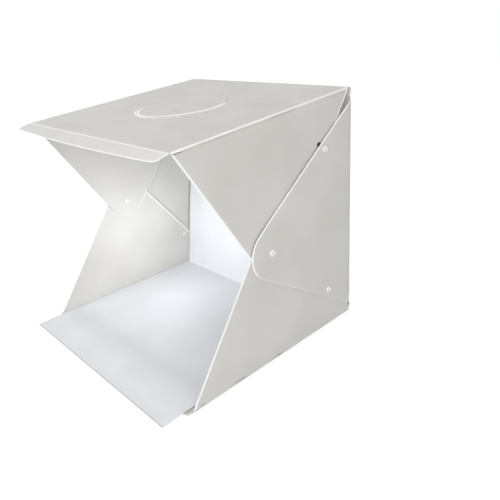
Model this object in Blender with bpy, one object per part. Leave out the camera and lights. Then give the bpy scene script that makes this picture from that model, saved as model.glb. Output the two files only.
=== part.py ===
"""A folding photo light tent of creased white sheet plastic, with a light bar and a backdrop.

X is to the right, Y runs from the open front to the back, and Z is up. The origin is on the
table under the middle of the tent. All sizes are in metres and all angles in radians.
"""

import math

import bmesh
import bpy
from mathutils import Matrix, Vector

# Overall sizes
WIDTH = 0.420  # over the outer faces of the two rear flaps
DEPTH = 0.430  # from the backdrop's front edge to the back's outer face
HEIGHT = 0.420  # from the table to the top of the bend above the back
FRONT_DROP = 0.0385  # how far the top's front crease lies below the bend above the back
APRON = 0.047  # how far the backdrop reaches ahead of the creases of the lower flaps
TOP_SETBACK = 0.0065  # the top's front crease, behind the lower flaps' front corners

# The sheet that all the panels are cut from
SHEET = 0.0008
LAYER_GAP = 0.0012  # air between two flaps that lie on each other
CREASE_GAP = 0.0003  # between the panels on each side of a crease
SEAT = 0.0003  # between a part and what it is fastened to
BACK_BEND = 0.008  # outer radius where the back rolls into the floor and the top
SIDE_BEND = 0.008  # outer radius where a rear flap rolls into the back
BEND_STEPS = 6
SHARP = math.radians(35)  # the least angle between two faces that shows as an edge

# The floor panel ahead of the creases of the lower flaps
FLOOR_LEDGE = 0.011
FLOOR_CORNER = 0.006

# The lip ahead of the top
LIP_LENGTH = 0.027
LIP_BOW = 0.005  # how far its front edge bows out in the middle
LIP_CORNER = 0.010
LIP_DROOP = math.radians(9)

# The round shooting hatch
HATCH_RADIUS = 0.078
HATCH_PLACE_SHARE = 0.485  # of the top's length, from its front crease to the hatch's centre
HATCH_KERF = 0.0004
HATCH_CHORD = math.radians(24)  # half the angle that its straight hinge crease spans
HATCH_LIFT = math.radians(1.5)  # how far it stands open at rest
HATCH_STEPS = 56

# The flaps: a round tip by the middle snap, and straight edges from it to the crease's ends
TIP_STEPS = 14
UPPER_TIP_BEHIND = 0.002
UPPER_TIP_ABOVE = 0.020
UPPER_TIP_RADIUS = 0.0472
LOWER_TIP_BEHIND = 0.0035
LOWER_TIP_BELOW = 0.008
LOWER_TIP_RADIUS = 0.046
REAR_TIP_RADIUS = 0.044
REAR_CREASE_FOOT = 0.0143  # from the table to the low end of a rear flap's crease
REAR_CREASE_DROP = 0.0155  # from the tent's height down to its high end

# Snap fasteners, placed by shares of the flaps' run back from their front crease and of the height
SNAP_SHARES = {"middle": (0.464, 0.455), "high": (0.8135, 0.7835), "low": (0.8335, 0.1735)}
CAP_RADIUS = 0.0055
CAP_RISE = 0.0022
CAP_RIM = 0.0008
POST_RADIUS = 0.0013
POST_CLEARANCE = 0.0003
SOCKET_RADIUS = 0.0042
SOCKET_WALL = 0.0018
SOCKET_DEPTH = 0.0006
STUD_CAP_RADIUS = 0.0050
STUD_CAP_RISE = 0.0014
STUD_CAP_RIM = 0.0004
STUD_BITE = 0.0004  # how far a stud's post reaches into its socket
PASS_CLEARANCE = 0.0013  # round a socket, in the hole of a flap that lies between
SNAP_STEPS = 14

# The grommet for the lamp lead, in the right upper flap by the high snap
GROMMET_AHEAD = 0.0116
GROMMET_ABOVE = 0.0090
GROMMET_BORE = 0.0028
GROMMET_WALL = 0.0010
GROMMET_FLANGE = 0.0046
GROMMET_LIP = 0.0009
GROMMET_STEPS = 18

# The backdrop sheet
BACKDROP_WALL = 0.0006
BACKDROP_INSET = 0.012  # from the rear flaps' outer faces to its edges
BACKDROP_DROP = 0.066  # from the tent's height down to its top
BACKDROP_FLAT = 0.019  # how far down it lies flat before it leaves the wall
BACKDROP_SWEEP = 0.062  # how far ahead of the wall it comes down to the floor
BACKDROP_STEPS = 16
BACKDROP_LEAN_SHARES = (0.84, 0.84)
BACKDROP_FALL_SHARE = 0.5

# The hook and loop pads that hold the backdrop, and those that hold the light bar
PAD_LAYER = 0.0012
BACKDROP_PAD_LENGTH = 0.050
BACKDROP_PAD_HEIGHT = 0.016
BACKDROP_PAD_SHARE = 0.31  # of the tent's width, from its middle to a pad's
LAMP_PAD_LENGTH = 0.030
LAMP_PAD_SHARE = 0.355  # of the bar's length, from its middle to a pad's

# The light bar under the top
LAMP_INSET = 0.076  # from the rear flaps' outer faces to the ends of its channel
LAMP_WIDTH = 0.014
LAMP_DROP = 0.0085
LAMP_BACK = 0.0215  # its centre line, behind the top's front crease
LAMP_WALL = 0.0010
LAMP_END = 0.0040
BOARD_MARGIN = 0.0010
BOARD_WALL = 0.0012
CHIP_COUNT = 22
CHIP_LENGTH = 0.0035
CHIP_WIDTH = 0.0028
CHIP_RISE = 0.0008
DIFFUSER_WALL = 0.0012
JACK_RADIUS = 0.0028
JACK_BORE = 0.0018
JACK_LENGTH = 0.0030

SIDES = ((1, "right"), (-1, "left"))

# Sizes and places that follow from those above
HALF = WIDTH / 2
FRONT = -DEPTH / 2
BACK = DEPTH / 2
CREASE = FRONT + APRON
LAYER = SHEET + LAYER_GAP
REAR_FACE = HALF
LOWER_FACE = REAR_FACE - LAYER
UPPER_FACE = LOWER_FACE - LAYER
BEND_BACK = BACK - BACK_BEND
TOP_FRONT = CREASE + TOP_SETBACK
FRONT_HEIGHT = HEIGHT - FRONT_DROP
MERGE = CREASE_GAP / 100
RUN = BEND_BACK - CREASE
SNAPS = {name: (CREASE + RUN * back, HEIGHT * up) for name, (back, up) in SNAP_SHARES.items()}
POST_HOLE = POST_RADIUS + POST_CLEARANCE
GROMMET = (SNAPS["high"][0] - GROMMET_AHEAD, SNAPS["high"][1] + GROMMET_ABOVE)
BACKDROP_TOP = HEIGHT - BACKDROP_DROP
LAMP_LENGTH = WIDTH - 2 * LAMP_INSET

# The top's slope: its outer face runs from the front crease as a tangent to the back bend
TOP_RUN = BEND_BACK - TOP_FRONT
TOP_RISE = FRONT_DROP - BACK_BEND
TOP_REACH = math.hypot(TOP_RUN, TOP_RISE)
SLOPE = math.atan2(TOP_RISE, TOP_RUN) + math.asin(BACK_BEND / TOP_REACH)
TOP_LENGTH = math.sqrt(TOP_REACH**2 - BACK_BEND**2)
ACROSS = Vector((1, 0, 0))
ALONG = Vector((0, math.cos(SLOPE), math.sin(SLOPE)))
UPWARD = ACROSS.cross(ALONG)
TOP_CORNER = Vector((0, TOP_FRONT, FRONT_HEIGHT))

# Joint axes
TOP_AXIS = TOP_CORNER + ALONG * TOP_LENGTH - UPWARD * SHEET
LIP_AXIS = TOP_CORNER - UPWARD * SHEET
HATCH_BACK = TOP_LENGTH * HATCH_PLACE_SHARE
HATCH_HINGE = HATCH_BACK + HATCH_RADIUS * math.cos(HATCH_CHORD)
HATCH_AXIS = TOP_CORNER + ALONG * HATCH_HINGE


def upper_axis(side):
    """The inner corner of an upper flap's crease, at the front end of the top."""
    return LIP_AXIS + ACROSS * side * (UPPER_FACE - SHEET - CREASE_GAP)


def lower_axis(side):
    """The outer corner of a lower flap's crease, at the front end of the floor."""
    return Vector((side * (LOWER_FACE + CREASE_GAP), CREASE, SHEET))


def rear_axis(side):
    """The foot of a rear flap's crease, on the back's outer face."""
    return Vector((side * (HALF - SIDE_BEND), BACK, 0))


def linear(code):
    """A colour's linear red, green, blue and alpha from its sRGB hex code."""
    values = [int(code[i : i + 2], 16) / 255 for i in (1, 3, 5)]
    bright = [v / 12.92 if v <= 0.04045 else ((v + 0.055) / 1.055) ** 2.4 for v in values]
    return (*bright, 1)


def finish(name, code, roughness, metallic=0.0):
    """A plain surface finish."""
    made = bpy.data.materials.new(name)
    made.use_nodes = True
    shader = made.node_tree.nodes["Principled BSDF"]
    shader.inputs["Base Color"].default_value = linear(code)
    shader.inputs["Roughness"].default_value = roughness
    shader.inputs["Metallic"].default_value = metallic
    return made


def pivot(name, point, parent=None):
    """An empty on a joint's axis, and where it stands."""
    empty = bpy.data.objects.new(name, None)
    empty.empty_display_size = APRON
    empty.location = point - (parent[1] if parent else Vector())
    empty.parent = parent[0] if parent else None
    bpy.context.scene.collection.objects.link(empty)
    return empty, point


def add(name, shape, material, carrier=None, smooth=False):
    """Turn a shape built in world places into an object, carried by a pivot if one is given."""
    mesh = bpy.data.meshes.new(name)
    shape.to_mesh(mesh)
    shape.free()
    mesh.materials.append(material)
    if smooth:
        mesh.shade_smooth()
        mesh.set_sharp_from_angle(angle=SHARP)
    piece = bpy.data.objects.new(name, mesh)
    if carrier:
        mesh.transform(Matrix.Translation(-carrier[1]))
        piece.parent = carrier[0]
    bpy.context.scene.collection.objects.link(piece)
    return piece


def arc(centre, radius, start, end, steps):
    """Points along part of a circle."""
    turns = [start + (end - start) * i / steps for i in range(steps + 1)]
    return [(centre[0] + radius * math.cos(t), centre[1] + radius * math.sin(t)) for t in turns]


def circle(centre, radius, steps):
    """Points round a whole circle."""
    return arc(centre, radius, 0, math.tau, steps)[:-1]


def tongue(start, end, tip, radius):
    """A flap's outline: a tangent from its crease to its round tip, and one back again."""
    angles = []
    for corner, turn in ((start, 1), (end, -1)):
        out, up = corner[0] - tip[0], corner[1] - tip[1]
        angles.append(math.atan2(up, out) + turn * math.acos(radius / math.hypot(out, up)))
    first, last = angles
    while last < first:
        last += math.tau
    return [start, *arc(tip, radius, first, last, TIP_STEPS), end]


def fill(outline, holes=()):
    """A flat face with the given outline and holes, facing up."""
    shape = bmesh.new()
    edges = []
    for loop in (outline, *holes):
        corners = [shape.verts.new((a, b, 0)) for a, b in loop]
        edges += [shape.edges.new((p, q)) for p, q in zip(corners, corners[1:] + corners[:1])]
    bmesh.ops.triangle_fill(shape, edges=edges, use_beauty=True, use_dissolve=False)
    shape.normal_update()
    for face in shape.faces:
        if face.normal.z < 0:
            face.normal_flip()
    return shape


def cut_across(shape, direction, places):
    """Cut a flat face along straight lines, so that it can bend there."""
    for place in places:
        everything = [*shape.verts, *shape.edges, *shape.faces]
        bmesh.ops.bisect_plane(
            shape, geom=everything, plane_co=Vector(direction) * place, plane_no=direction, dist=MERGE
        )


def sheet(name, shape, place, material, carrier=None, wall=SHEET, smooth=False):
    """Lay a flat face out in space and thicken it inwards from there."""
    for corner in shape.verts:
        corner.co = place(corner.co.x, corner.co.y)
    piece = add(name, shape, material, carrier, smooth)
    thick = piece.modifiers.new("wall", "SOLIDIFY")
    thick.thickness = wall
    thick.offset = -1
    thick.use_even_offset = True
    return piece


def faced_out(shape):
    """Point all the faces of a closed shape outwards."""
    bmesh.ops.recalc_face_normals(shape, faces=shape.faces[:])
    if shape.calc_volume(signed=True) < 0:
        bmesh.ops.reverse_faces(shape, faces=shape.faces[:])
    return shape


def extruded(outline, holes, place, start, end):
    """A flat outline drawn out to a solid between two depths."""
    shape = fill(outline, holes)
    made = bmesh.ops.extrude_face_region(shape, geom=shape.faces[:])
    drawn = {v for v in made["geom"] if isinstance(v, bmesh.types.BMVert)}
    for corner in shape.verts:
        depth = end if corner in drawn else start
        corner.co = place(corner.co.x, corner.co.y, depth)
    return faced_out(shape)


def turned(profile, closed, centre, place, steps):
    """A round body turned from a profile of radii and depths."""
    shape = bmesh.new()
    corners = [shape.verts.new((radius, 0, depth)) for radius, depth in profile]
    following = corners[1:] + corners[:1] if closed else corners[1:]
    edges = [shape.edges.new(pair) for pair in zip(corners, following)]
    bmesh.ops.spin(
        shape, geom=corners + edges, cent=(0, 0, 0), axis=(0, 0, 1), angle=math.tau, steps=steps
    )
    bmesh.ops.remove_doubles(shape, verts=shape.verts[:], dist=MERGE)
    for corner in shape.verts:
        across, up, depth = corner.co
        corner.co = place(centre[0] + across, centre[1] + up, depth)
    return faced_out(shape)


def box(low_a, high_a, low_b, high_b):
    """A rectangle's corners."""
    return [(low_a, low_b), (high_a, low_b), (high_a, high_b), (low_a, high_b)]


def on_top(across, along, above=0.0):
    """A place on the top's outer face, measured from the middle of its front crease."""
    return TOP_CORNER + ACROSS * across + ALONG * along + UPWARD * above


def under_top(back):
    """The height of an upper flap's upper edge, at a distance behind the top's front crease."""
    return FRONT_HEIGHT + back * math.tan(SLOPE) - (SHEET + CREASE_GAP) / math.cos(SLOPE)


def on_side(side, face):
    """A placer on an upright face, whose outlines run back and up."""

    def place(back, up, outward=0.0):
        return Vector((side * (face + outward), back, up))

    return place


def facing(outline, side):
    """The outline in the order that faces outwards on its side of the tent."""
    return outline if side > 0 else outline[::-1]


def mirror(shape, side):
    """Turn a flat face over where it lies on the left side, so that it still faces outwards."""
    if side < 0:
        bmesh.ops.reverse_faces(shape, faces=shape.faces[:])
    return shape


def post_holes(*names):
    """The holes that the posts of some snaps pass."""
    return [circle(SNAPS[name], POST_HOLE, SNAP_STEPS) for name in names]


def back_line(length):
    """A place on the back's outer face, at a length from where it leaves the floor."""
    lower_turn = BACK_BEND * math.pi / 2
    upright = HEIGHT - 2 * BACK_BEND
    if length < lower_turn:
        angle = length / BACK_BEND - math.pi / 2
        middle = BACK_BEND
    elif length < lower_turn + upright:
        return BACK, BACK_BEND + length - lower_turn
    else:
        angle = (length - lower_turn - upright) / BACK_BEND
        middle = HEIGHT - BACK_BEND
    return BEND_BACK + BACK_BEND * math.cos(angle), middle + BACK_BEND * math.sin(angle)


def make_floor(material):
    """The floor panel, with a ledge ahead of the flaps."""
    inner, front = LOWER_FACE - FLOOR_CORNER, CREASE - FLOOR_LEDGE
    centre = (inner, front + FLOOR_CORNER)
    right = arc(centre, FLOOR_CORNER, -math.pi / 2, 0, BEND_STEPS)
    right.append((LOWER_FACE, BEND_BACK - CREASE_GAP))
    outline = right + [(-a, b) for a, b in reversed(right)]
    sheet("base_panel", fill(outline), lambda a, b: Vector((-a, b, 0)), material)


def make_back(material):
    """The back panel, rolled at its foot and its head, with notches for the rear flaps."""
    lower_turn = BACK_BEND * math.pi / 2
    upper_turn = BACK_BEND * (math.pi / 2 + SLOPE)
    upright = HEIGHT - 2 * BACK_BEND
    total = lower_turn + upright + upper_turn
    foot = lower_turn - BACK_BEND + REAR_CREASE_FOOT - CREASE_GAP
    head = lower_turn - BACK_BEND + HEIGHT - REAR_CREASE_DROP + CREASE_GAP
    wide, narrow = UPPER_FACE, HALF - SIDE_BEND - CREASE_GAP
    right = [(wide, 0), (wide, foot), (narrow, foot), (narrow, head), (wide, head), (wide, total)]
    left = [(-a, b) for a, b in reversed(right)]
    shape = fill(right + left)
    stations = [lower_turn * i / BEND_STEPS for i in range(1, BEND_STEPS + 1)]
    stations += [lower_turn + upright + upper_turn * i / BEND_STEPS for i in range(BEND_STEPS)]
    cut_across(shape, (0, 1, 0), stations)

    def place(a, b):
        back, up = back_line(b)
        return Vector((-a, back, up))

    sheet("back_panel", shape, place, material, smooth=True)


def hatch_outline(grow):
    """The hatch's outline, a circle with a straight hinge crease, grown by a margin."""
    radius = HATCH_RADIUS + grow
    turn = math.acos((HATCH_RADIUS * math.cos(HATCH_CHORD) + grow) / radius)
    quarter = math.pi / 2
    return arc((0, HATCH_BACK), radius, quarter + turn, quarter - turn + math.tau, HATCH_STEPS)


def make_top(material, top, lip, hatch):
    """The top panel with its round opening, the lip ahead of it and the hatch in it."""
    outline = box(-UPPER_FACE, UPPER_FACE, CREASE_GAP, TOP_LENGTH - CREASE_GAP)
    shape = fill(outline, [hatch_outline(HATCH_KERF)])
    sheet("top_panel", shape, on_top, material, top)

    side, reach = UPPER_FACE, LIP_LENGTH
    inner = side - LIP_CORNER
    corner_right = arc((inner, reach - LIP_CORNER), LIP_CORNER, 0, math.pi / 2, BEND_STEPS)
    spread = [inner * (1 - 2 * i / TIP_STEPS) for i in range(1, TIP_STEPS)]
    bowed = [(a, reach + LIP_BOW * (1 - (a / inner) ** 2)) for a in spread]
    corner_left = [(-a, b) for a, b in reversed(corner_right)]
    edge = [(side, CREASE_GAP), *corner_right, *bowed, *corner_left, (-side, CREASE_GAP)]
    ahead = -ALONG * math.cos(LIP_DROOP) - UPWARD * math.sin(LIP_DROOP)
    above = UPWARD * math.cos(LIP_DROOP) - ALONG * math.sin(LIP_DROOP)

    def on_lip(a, b):
        return LIP_AXIS - ACROSS * a + ahead * b + above * SHEET

    sheet("top_lip", fill(edge), on_lip, material, lip)

    def on_hatch(a, b):
        reach_back = b - HATCH_HINGE
        along = HATCH_HINGE + reach_back * math.cos(HATCH_LIFT)
        return on_top(a, along, -reach_back * math.sin(HATCH_LIFT))

    sheet("hatch_flap", fill(hatch_outline(-HATCH_KERF)), on_hatch, material, hatch)


def make_upper_flap(side, word, material, carrier):
    """A flap that hangs from the top, innermost of the three."""
    first = CREASE_GAP
    last = TOP_LENGTH * math.cos(SLOPE) - CREASE_GAP
    start = (TOP_FRONT + first, under_top(first))
    end = (TOP_FRONT + last, under_top(last))
    tip = (SNAPS["middle"][0] + UPPER_TIP_BEHIND, SNAPS["middle"][1] + UPPER_TIP_ABOVE)
    outline = tongue(start, end, tip, UPPER_TIP_RADIUS)
    holes = post_holes("middle", "high")
    if side > 0:
        holes.append(circle(GROMMET, GROMMET_BORE + GROMMET_WALL + SEAT, GROMMET_STEPS))
    shape = fill(facing(outline, side), holes)
    sheet(f"upper_flap_{word}", mirror(shape, side), on_side(side, UPPER_FACE), material, carrier)


def make_lower_flap(side, word, material, carrier):
    """A flap that stands on the floor's edge, between the other two."""
    foot = SHEET + CREASE_GAP
    start, end = (BEND_BACK - CREASE_GAP, foot), (CREASE, foot)
    tip = (SNAPS["middle"][0] + LOWER_TIP_BEHIND, SNAPS["middle"][1] - LOWER_TIP_BELOW)
    outline = tongue(start, end, tip, LOWER_TIP_RADIUS)
    passage = circle(SNAPS["middle"], SOCKET_RADIUS + PASS_CLEARANCE, SNAP_STEPS)
    shape = fill(facing(outline, side), [passage, *post_holes("low")])
    sheet(f"lower_flap_{word}", mirror(shape, side), on_side(side, LOWER_FACE), material, carrier)


def make_rear_flap(side, word, material, carrier):
    """The outermost flap, rolled round the back's upright edge."""
    turn = SIDE_BEND * math.pi / 2
    crease = BACK - SIDE_BEND + turn
    start = (crease - CREASE_GAP, HEIGHT - REAR_CREASE_DROP)
    end = (crease - CREASE_GAP, REAR_CREASE_FOOT)
    outline = tongue(start, end, SNAPS["middle"], REAR_TIP_RADIUS)
    shape = fill(facing(outline, side), post_holes(*SNAPS))
    stations = [BACK - SIDE_BEND + turn * i / BEND_STEPS for i in range(BEND_STEPS)]
    cut_across(shape, (1, 0, 0), stations)

    def place(a, b):
        angle = max(0, a - (BACK - SIDE_BEND)) / SIDE_BEND
        out = HALF - SIDE_BEND + SIDE_BEND * math.cos(angle)
        back = BACK - SIDE_BEND + SIDE_BEND * math.sin(angle)
        return Vector((side * out, back if angle else a, b))

    sheet(f"rear_flap_{word}", mirror(shape, side), place, material, carrier, smooth=True)


def cap_profile():
    """A snap's cap: a post through the rear flap, under a low dome with a thin rim."""
    low, high = SEAT + CAP_RIM, SEAT + CAP_RISE
    dome = arc((0, 0), 1, 0, math.pi / 2, BEND_STEPS)
    foot = [(0, -SHEET), (POST_RADIUS, -SHEET), (POST_RADIUS, SEAT), (CAP_RADIUS, SEAT)]
    return foot + [(CAP_RADIUS * a, low + (high - low) * b) for a, b in dome[:-1]] + [(0, high)]


def stud_profile(reach):
    """A snap's stud: a post that reaches out to its socket, on a low dome inside the tent."""
    base = -SHEET - SEAT
    low, high = base - STUD_CAP_RIM, base - STUD_CAP_RISE
    dome = arc((0, 0), 1, 0, math.pi / 2, BEND_STEPS)
    post = [(0, reach), (POST_RADIUS, reach), (POST_RADIUS, base), (STUD_CAP_RADIUS, base)]
    return post + [(STUD_CAP_RADIUS * a, low + (high - low) * b) for a, b in dome[:-1]] + [(0, high)]


def make_snaps(side, word, plastic, upper, lower, rear):
    """The caps and sockets on a rear flap, and the studs on the flaps under it."""
    bore = SOCKET_RADIUS - SOCKET_WALL
    near, far = -SEAT, -SEAT - SOCKET_DEPTH
    ring = [(bore, near), (SOCKET_RADIUS, near), (SOCKET_RADIUS, far), (bore, far)]
    inside = REAR_FACE - SHEET
    for name, centre in SNAPS.items():
        shape = turned(cap_profile(), False, centre, on_side(side, REAR_FACE), SNAP_STEPS)
        add(f"snap_cap_{name}_{word}", shape, plastic, rear, smooth=True)
        shape = turned(ring, True, centre, on_side(side, inside), SNAP_STEPS)
        add(f"snap_socket_{name}_{word}", shape, plastic, rear, smooth=True)
        face, carrier = (LOWER_FACE, lower) if name == "low" else (UPPER_FACE, upper)
        profile = stud_profile(inside + far + STUD_BITE - face)
        shape = turned(profile, False, centre, on_side(side, face), SNAP_STEPS)
        add(f"snap_stud_{name}_{word}", shape, plastic, carrier, smooth=True)


def make_grommet(rubber, carrier):
    """The ring in the right upper flap that the lamp lead would pass."""
    wall = GROMMET_BORE + GROMMET_WALL
    outer, inner = SEAT, -SHEET - SEAT
    ring = [
        (GROMMET_BORE, inner - GROMMET_LIP),
        (GROMMET_FLANGE, inner - GROMMET_LIP),
        (GROMMET_FLANGE, inner),
        (wall, inner),
        (wall, outer),
        (GROMMET_FLANGE, outer),
        (GROMMET_FLANGE, outer + GROMMET_LIP),
        (GROMMET_BORE, outer + GROMMET_LIP),
    ]
    shape = turned(ring, True, GROMMET, on_side(1, UPPER_FACE), GROMMET_STEPS)
    add("cable_grommet", shape, rubber, carrier, smooth=True)


def backdrop_line():
    """The backdrop's rear face from its top to its front edge, as distances back and up."""
    floor = SHEET + SEAT
    wall = BACK - SHEET - 3 * SEAT - 2 * PAD_LAYER
    first, second = (BACKDROP_SWEEP * share for share in BACKDROP_LEAN_SHARES)
    leave = BACKDROP_TOP - BACKDROP_FLAT
    tall = leave - floor
    controls = [
        (wall, leave),
        (wall - first, floor + tall * BACKDROP_FALL_SHARE),
        (wall - second, floor),
        (wall - BACKDROP_SWEEP, floor),
    ]
    line = [(wall, BACKDROP_TOP)]
    for i in range(BACKDROP_STEPS + 1):
        t = i / BACKDROP_STEPS
        weights = ((1 - t) ** 3, 3 * t * (1 - t) ** 2, 3 * t**2 * (1 - t), t**3)
        line.append(tuple(sum(w * c[k] for w, c in zip(weights, controls)) for k in (0, 1)))
    line.append((FRONT, floor))
    return line


def make_backdrop(vinyl, fuzz, carrier):
    """The backdrop sheet and the hook and loop pads that hold its top to the back."""
    line = backdrop_line()
    half = HALF - BACKDROP_INSET
    shape = bmesh.new()
    rows = [[shape.verts.new((a, back, up)) for a in (-half, half)] for back, up in line]
    for (p, q), (r, s) in zip(rows, rows[1:]):
        shape.faces.new((p, r, s, q))
    shape.normal_update()
    piece = add("backdrop_sheet", shape, vinyl, carrier, smooth=True)
    thick = piece.modifiers.new("wall", "SOLIDIFY")
    thick.thickness = BACKDROP_WALL
    thick.offset = 1
    thick.use_even_offset = True

    wall = BACK - SHEET - SEAT
    near = wall - PAD_LAYER - SEAT
    low = BACKDROP_TOP - BACKDROP_PAD_HEIGHT
    reach = BACKDROP_PAD_LENGTH / 2
    for side, word in SIDES:
        middle = side * WIDTH * BACKDROP_PAD_SHARE
        pad = box(middle - reach, middle + reach, low, BACKDROP_TOP)
        shape = extruded(pad, (), upright, wall - PAD_LAYER, wall)
        add(f"backdrop_hook_pad_{word}", shape, fuzz)
        shape = extruded(pad, (), upright, near - PAD_LAYER, near)
        add(f"backdrop_loop_pad_{word}", shape, fuzz, carrier)


def upright(across, up, back):
    """A place in the plane of the back."""
    return Vector((across, back, up))


def lengthwise(along, above, across):
    """A place in a cross-section of the light bar."""
    return on_top(across, along, above)


def make_lamp_pads(carrier, fuzz):
    """The hook and loop pads between the top and the light bar."""
    reach = LAMP_PAD_LENGTH / 2
    near = LAMP_BACK - LAMP_WIDTH / 2 + LAMP_WALL
    far = LAMP_BACK + LAMP_WIDTH / 2 - LAMP_WALL
    for side, word in SIDES:
        middle = side * LAMP_LENGTH * LAMP_PAD_SHARE
        pad = box(middle - reach, middle + reach, near, far)
        high = -SHEET - SEAT
        for kind in ("hook", "loop"):
            shape = extruded(pad, (), on_top, high - PAD_LAYER, high)
            add(f"lamp_{kind}_pad_{word}", shape, fuzz, carrier)
            high -= PAD_LAYER + SEAT


def make_light_bar(carrier, alloy, board, frosted, plastic):
    """The light bar: a channel with its board of lights, cover, two ends and inlet."""
    top = -SHEET - 2 * PAD_LAYER - 3 * SEAT
    low = top - LAMP_DROP
    near, far = LAMP_BACK - LAMP_WIDTH / 2, LAMP_BACK + LAMP_WIDTH / 2
    half = LAMP_LENGTH / 2
    roof = top - LAMP_WALL
    channel = [
        (near, low),
        (near + LAMP_WALL, low),
        (near + LAMP_WALL, roof),
        (far - LAMP_WALL, roof),
        (far - LAMP_WALL, low),
        (far, low),
        (far, top),
        (near, top),
    ]
    add("lamp_channel", extruded(channel, (), lengthwise, -half, half), alloy, carrier)

    inset = LAMP_WALL + BOARD_MARGIN
    face = roof - SEAT - BOARD_WALL
    reach = half - BOARD_MARGIN
    strip = box(near + inset, far - inset, face, roof - SEAT)
    plate = add("lamp_board", extruded(strip, (), lengthwise, -reach, reach), board, carrier)
    pitch = 2 * reach / CHIP_COUNT
    for i in range(CHIP_COUNT):
        middle = -reach + pitch * (i + 1 / 2)
        left, right = middle - CHIP_LENGTH / 2, middle + CHIP_LENGTH / 2
        chip = box(left, right, LAMP_BACK - CHIP_WIDTH / 2, LAMP_BACK + CHIP_WIDTH / 2)
        shape = extruded(chip, (), on_top, face - CHIP_RISE, face + BOARD_WALL / 2)
        guide = add(f"chip_{i}", shape, board, carrier)
        guide.hide_render = True
        guide.display_type = "WIRE"
        fuse = plate.modifiers.new(f"chip_{i}", "BOOLEAN")
        fuse.operation = "UNION"
        fuse.solver = "EXACT"
        fuse.object = guide

    lip = LAMP_WALL + SEAT
    cover = box(near + lip, far - lip, low, low + DIFFUSER_WALL)
    add("lamp_diffuser", extruded(cover, (), lengthwise, -half, half), frosted, carrier)

    block = box(near, far, low, top)
    centre = (LAMP_BACK, (low + top) / 2)
    hole = circle(centre, JACK_RADIUS + SEAT, SNAP_STEPS)
    start = half + SEAT
    stop = start + LAMP_END
    add("lamp_end_left", extruded(block, (), lengthwise, -stop, -start), plastic, carrier)
    add("lamp_end_right", extruded(block, [hole], lengthwise, start, stop), plastic, carrier)
    inner, outer = stop - JACK_LENGTH, stop + SEAT
    barrel = [(JACK_BORE, inner), (JACK_RADIUS, inner), (JACK_RADIUS, outer), (JACK_BORE, outer)]
    shape = turned(barrel, True, centre, lengthwise, SNAP_STEPS)
    add("lamp_inlet", shape, plastic, carrier, smooth=True)


def build():
    """Make the whole tent."""
    for old in list(bpy.data.objects):
        bpy.data.objects.remove(old)
    panel = finish("white_panel", "#DCDAD6", 0.45)
    snap = finish("white_snap", "#E2E1DE", 0.35)
    vinyl = finish("backdrop_vinyl", "#E6E8EA", 0.6)
    rubber = finish("black_rubber", "#1A1A1A", 0.7)
    alloy = finish("light_bar_alloy", "#C8CACC", 0.35, 1.0)
    board = finish("light_board", "#F0F0EC", 0.5)
    frosted = finish("frosted_cover", "#F4F4F2", 0.5)
    fuzz = finish("hook_and_loop", "#EDEDED", 0.9)
    plastic = finish("bar_end_plastic", "#2A2A2C", 0.5)

    top = pivot("top_pivot", TOP_AXIS)
    lip = pivot("lip_pivot", LIP_AXIS, top)
    hatch = pivot("hatch_pivot", HATCH_AXIS, top)
    backdrop = pivot("backdrop_slide", Vector((0, FRONT, 0)))
    make_floor(panel)
    make_back(panel)
    make_top(panel, top, lip, hatch)
    for side, word in SIDES:
        upper = pivot(f"upper_pivot_{word}", upper_axis(side), top)
        lower = pivot(f"lower_pivot_{word}", lower_axis(side))
        rear = pivot(f"rear_pivot_{word}", rear_axis(side))
        make_upper_flap(side, word, panel, upper)
        make_lower_flap(side, word, panel, lower)
        make_rear_flap(side, word, panel, rear)
        make_snaps(side, word, snap, upper, lower, rear)
        if side > 0:
            make_grommet(rubber, upper)
    make_backdrop(vinyl, fuzz, backdrop)
    make_lamp_pads(top, fuzz)
    make_light_bar(top, alloy, board, frosted, plastic)


build()
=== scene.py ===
# %% [markdown]
# # A folding light tent
# The tent is one flat cut of white sheet plastic, creased, folded up and held by snap fasteners.
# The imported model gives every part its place. This lesson dresses each part in turn, and the
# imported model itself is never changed: a finished piece stands for the part that it replaces.

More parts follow.
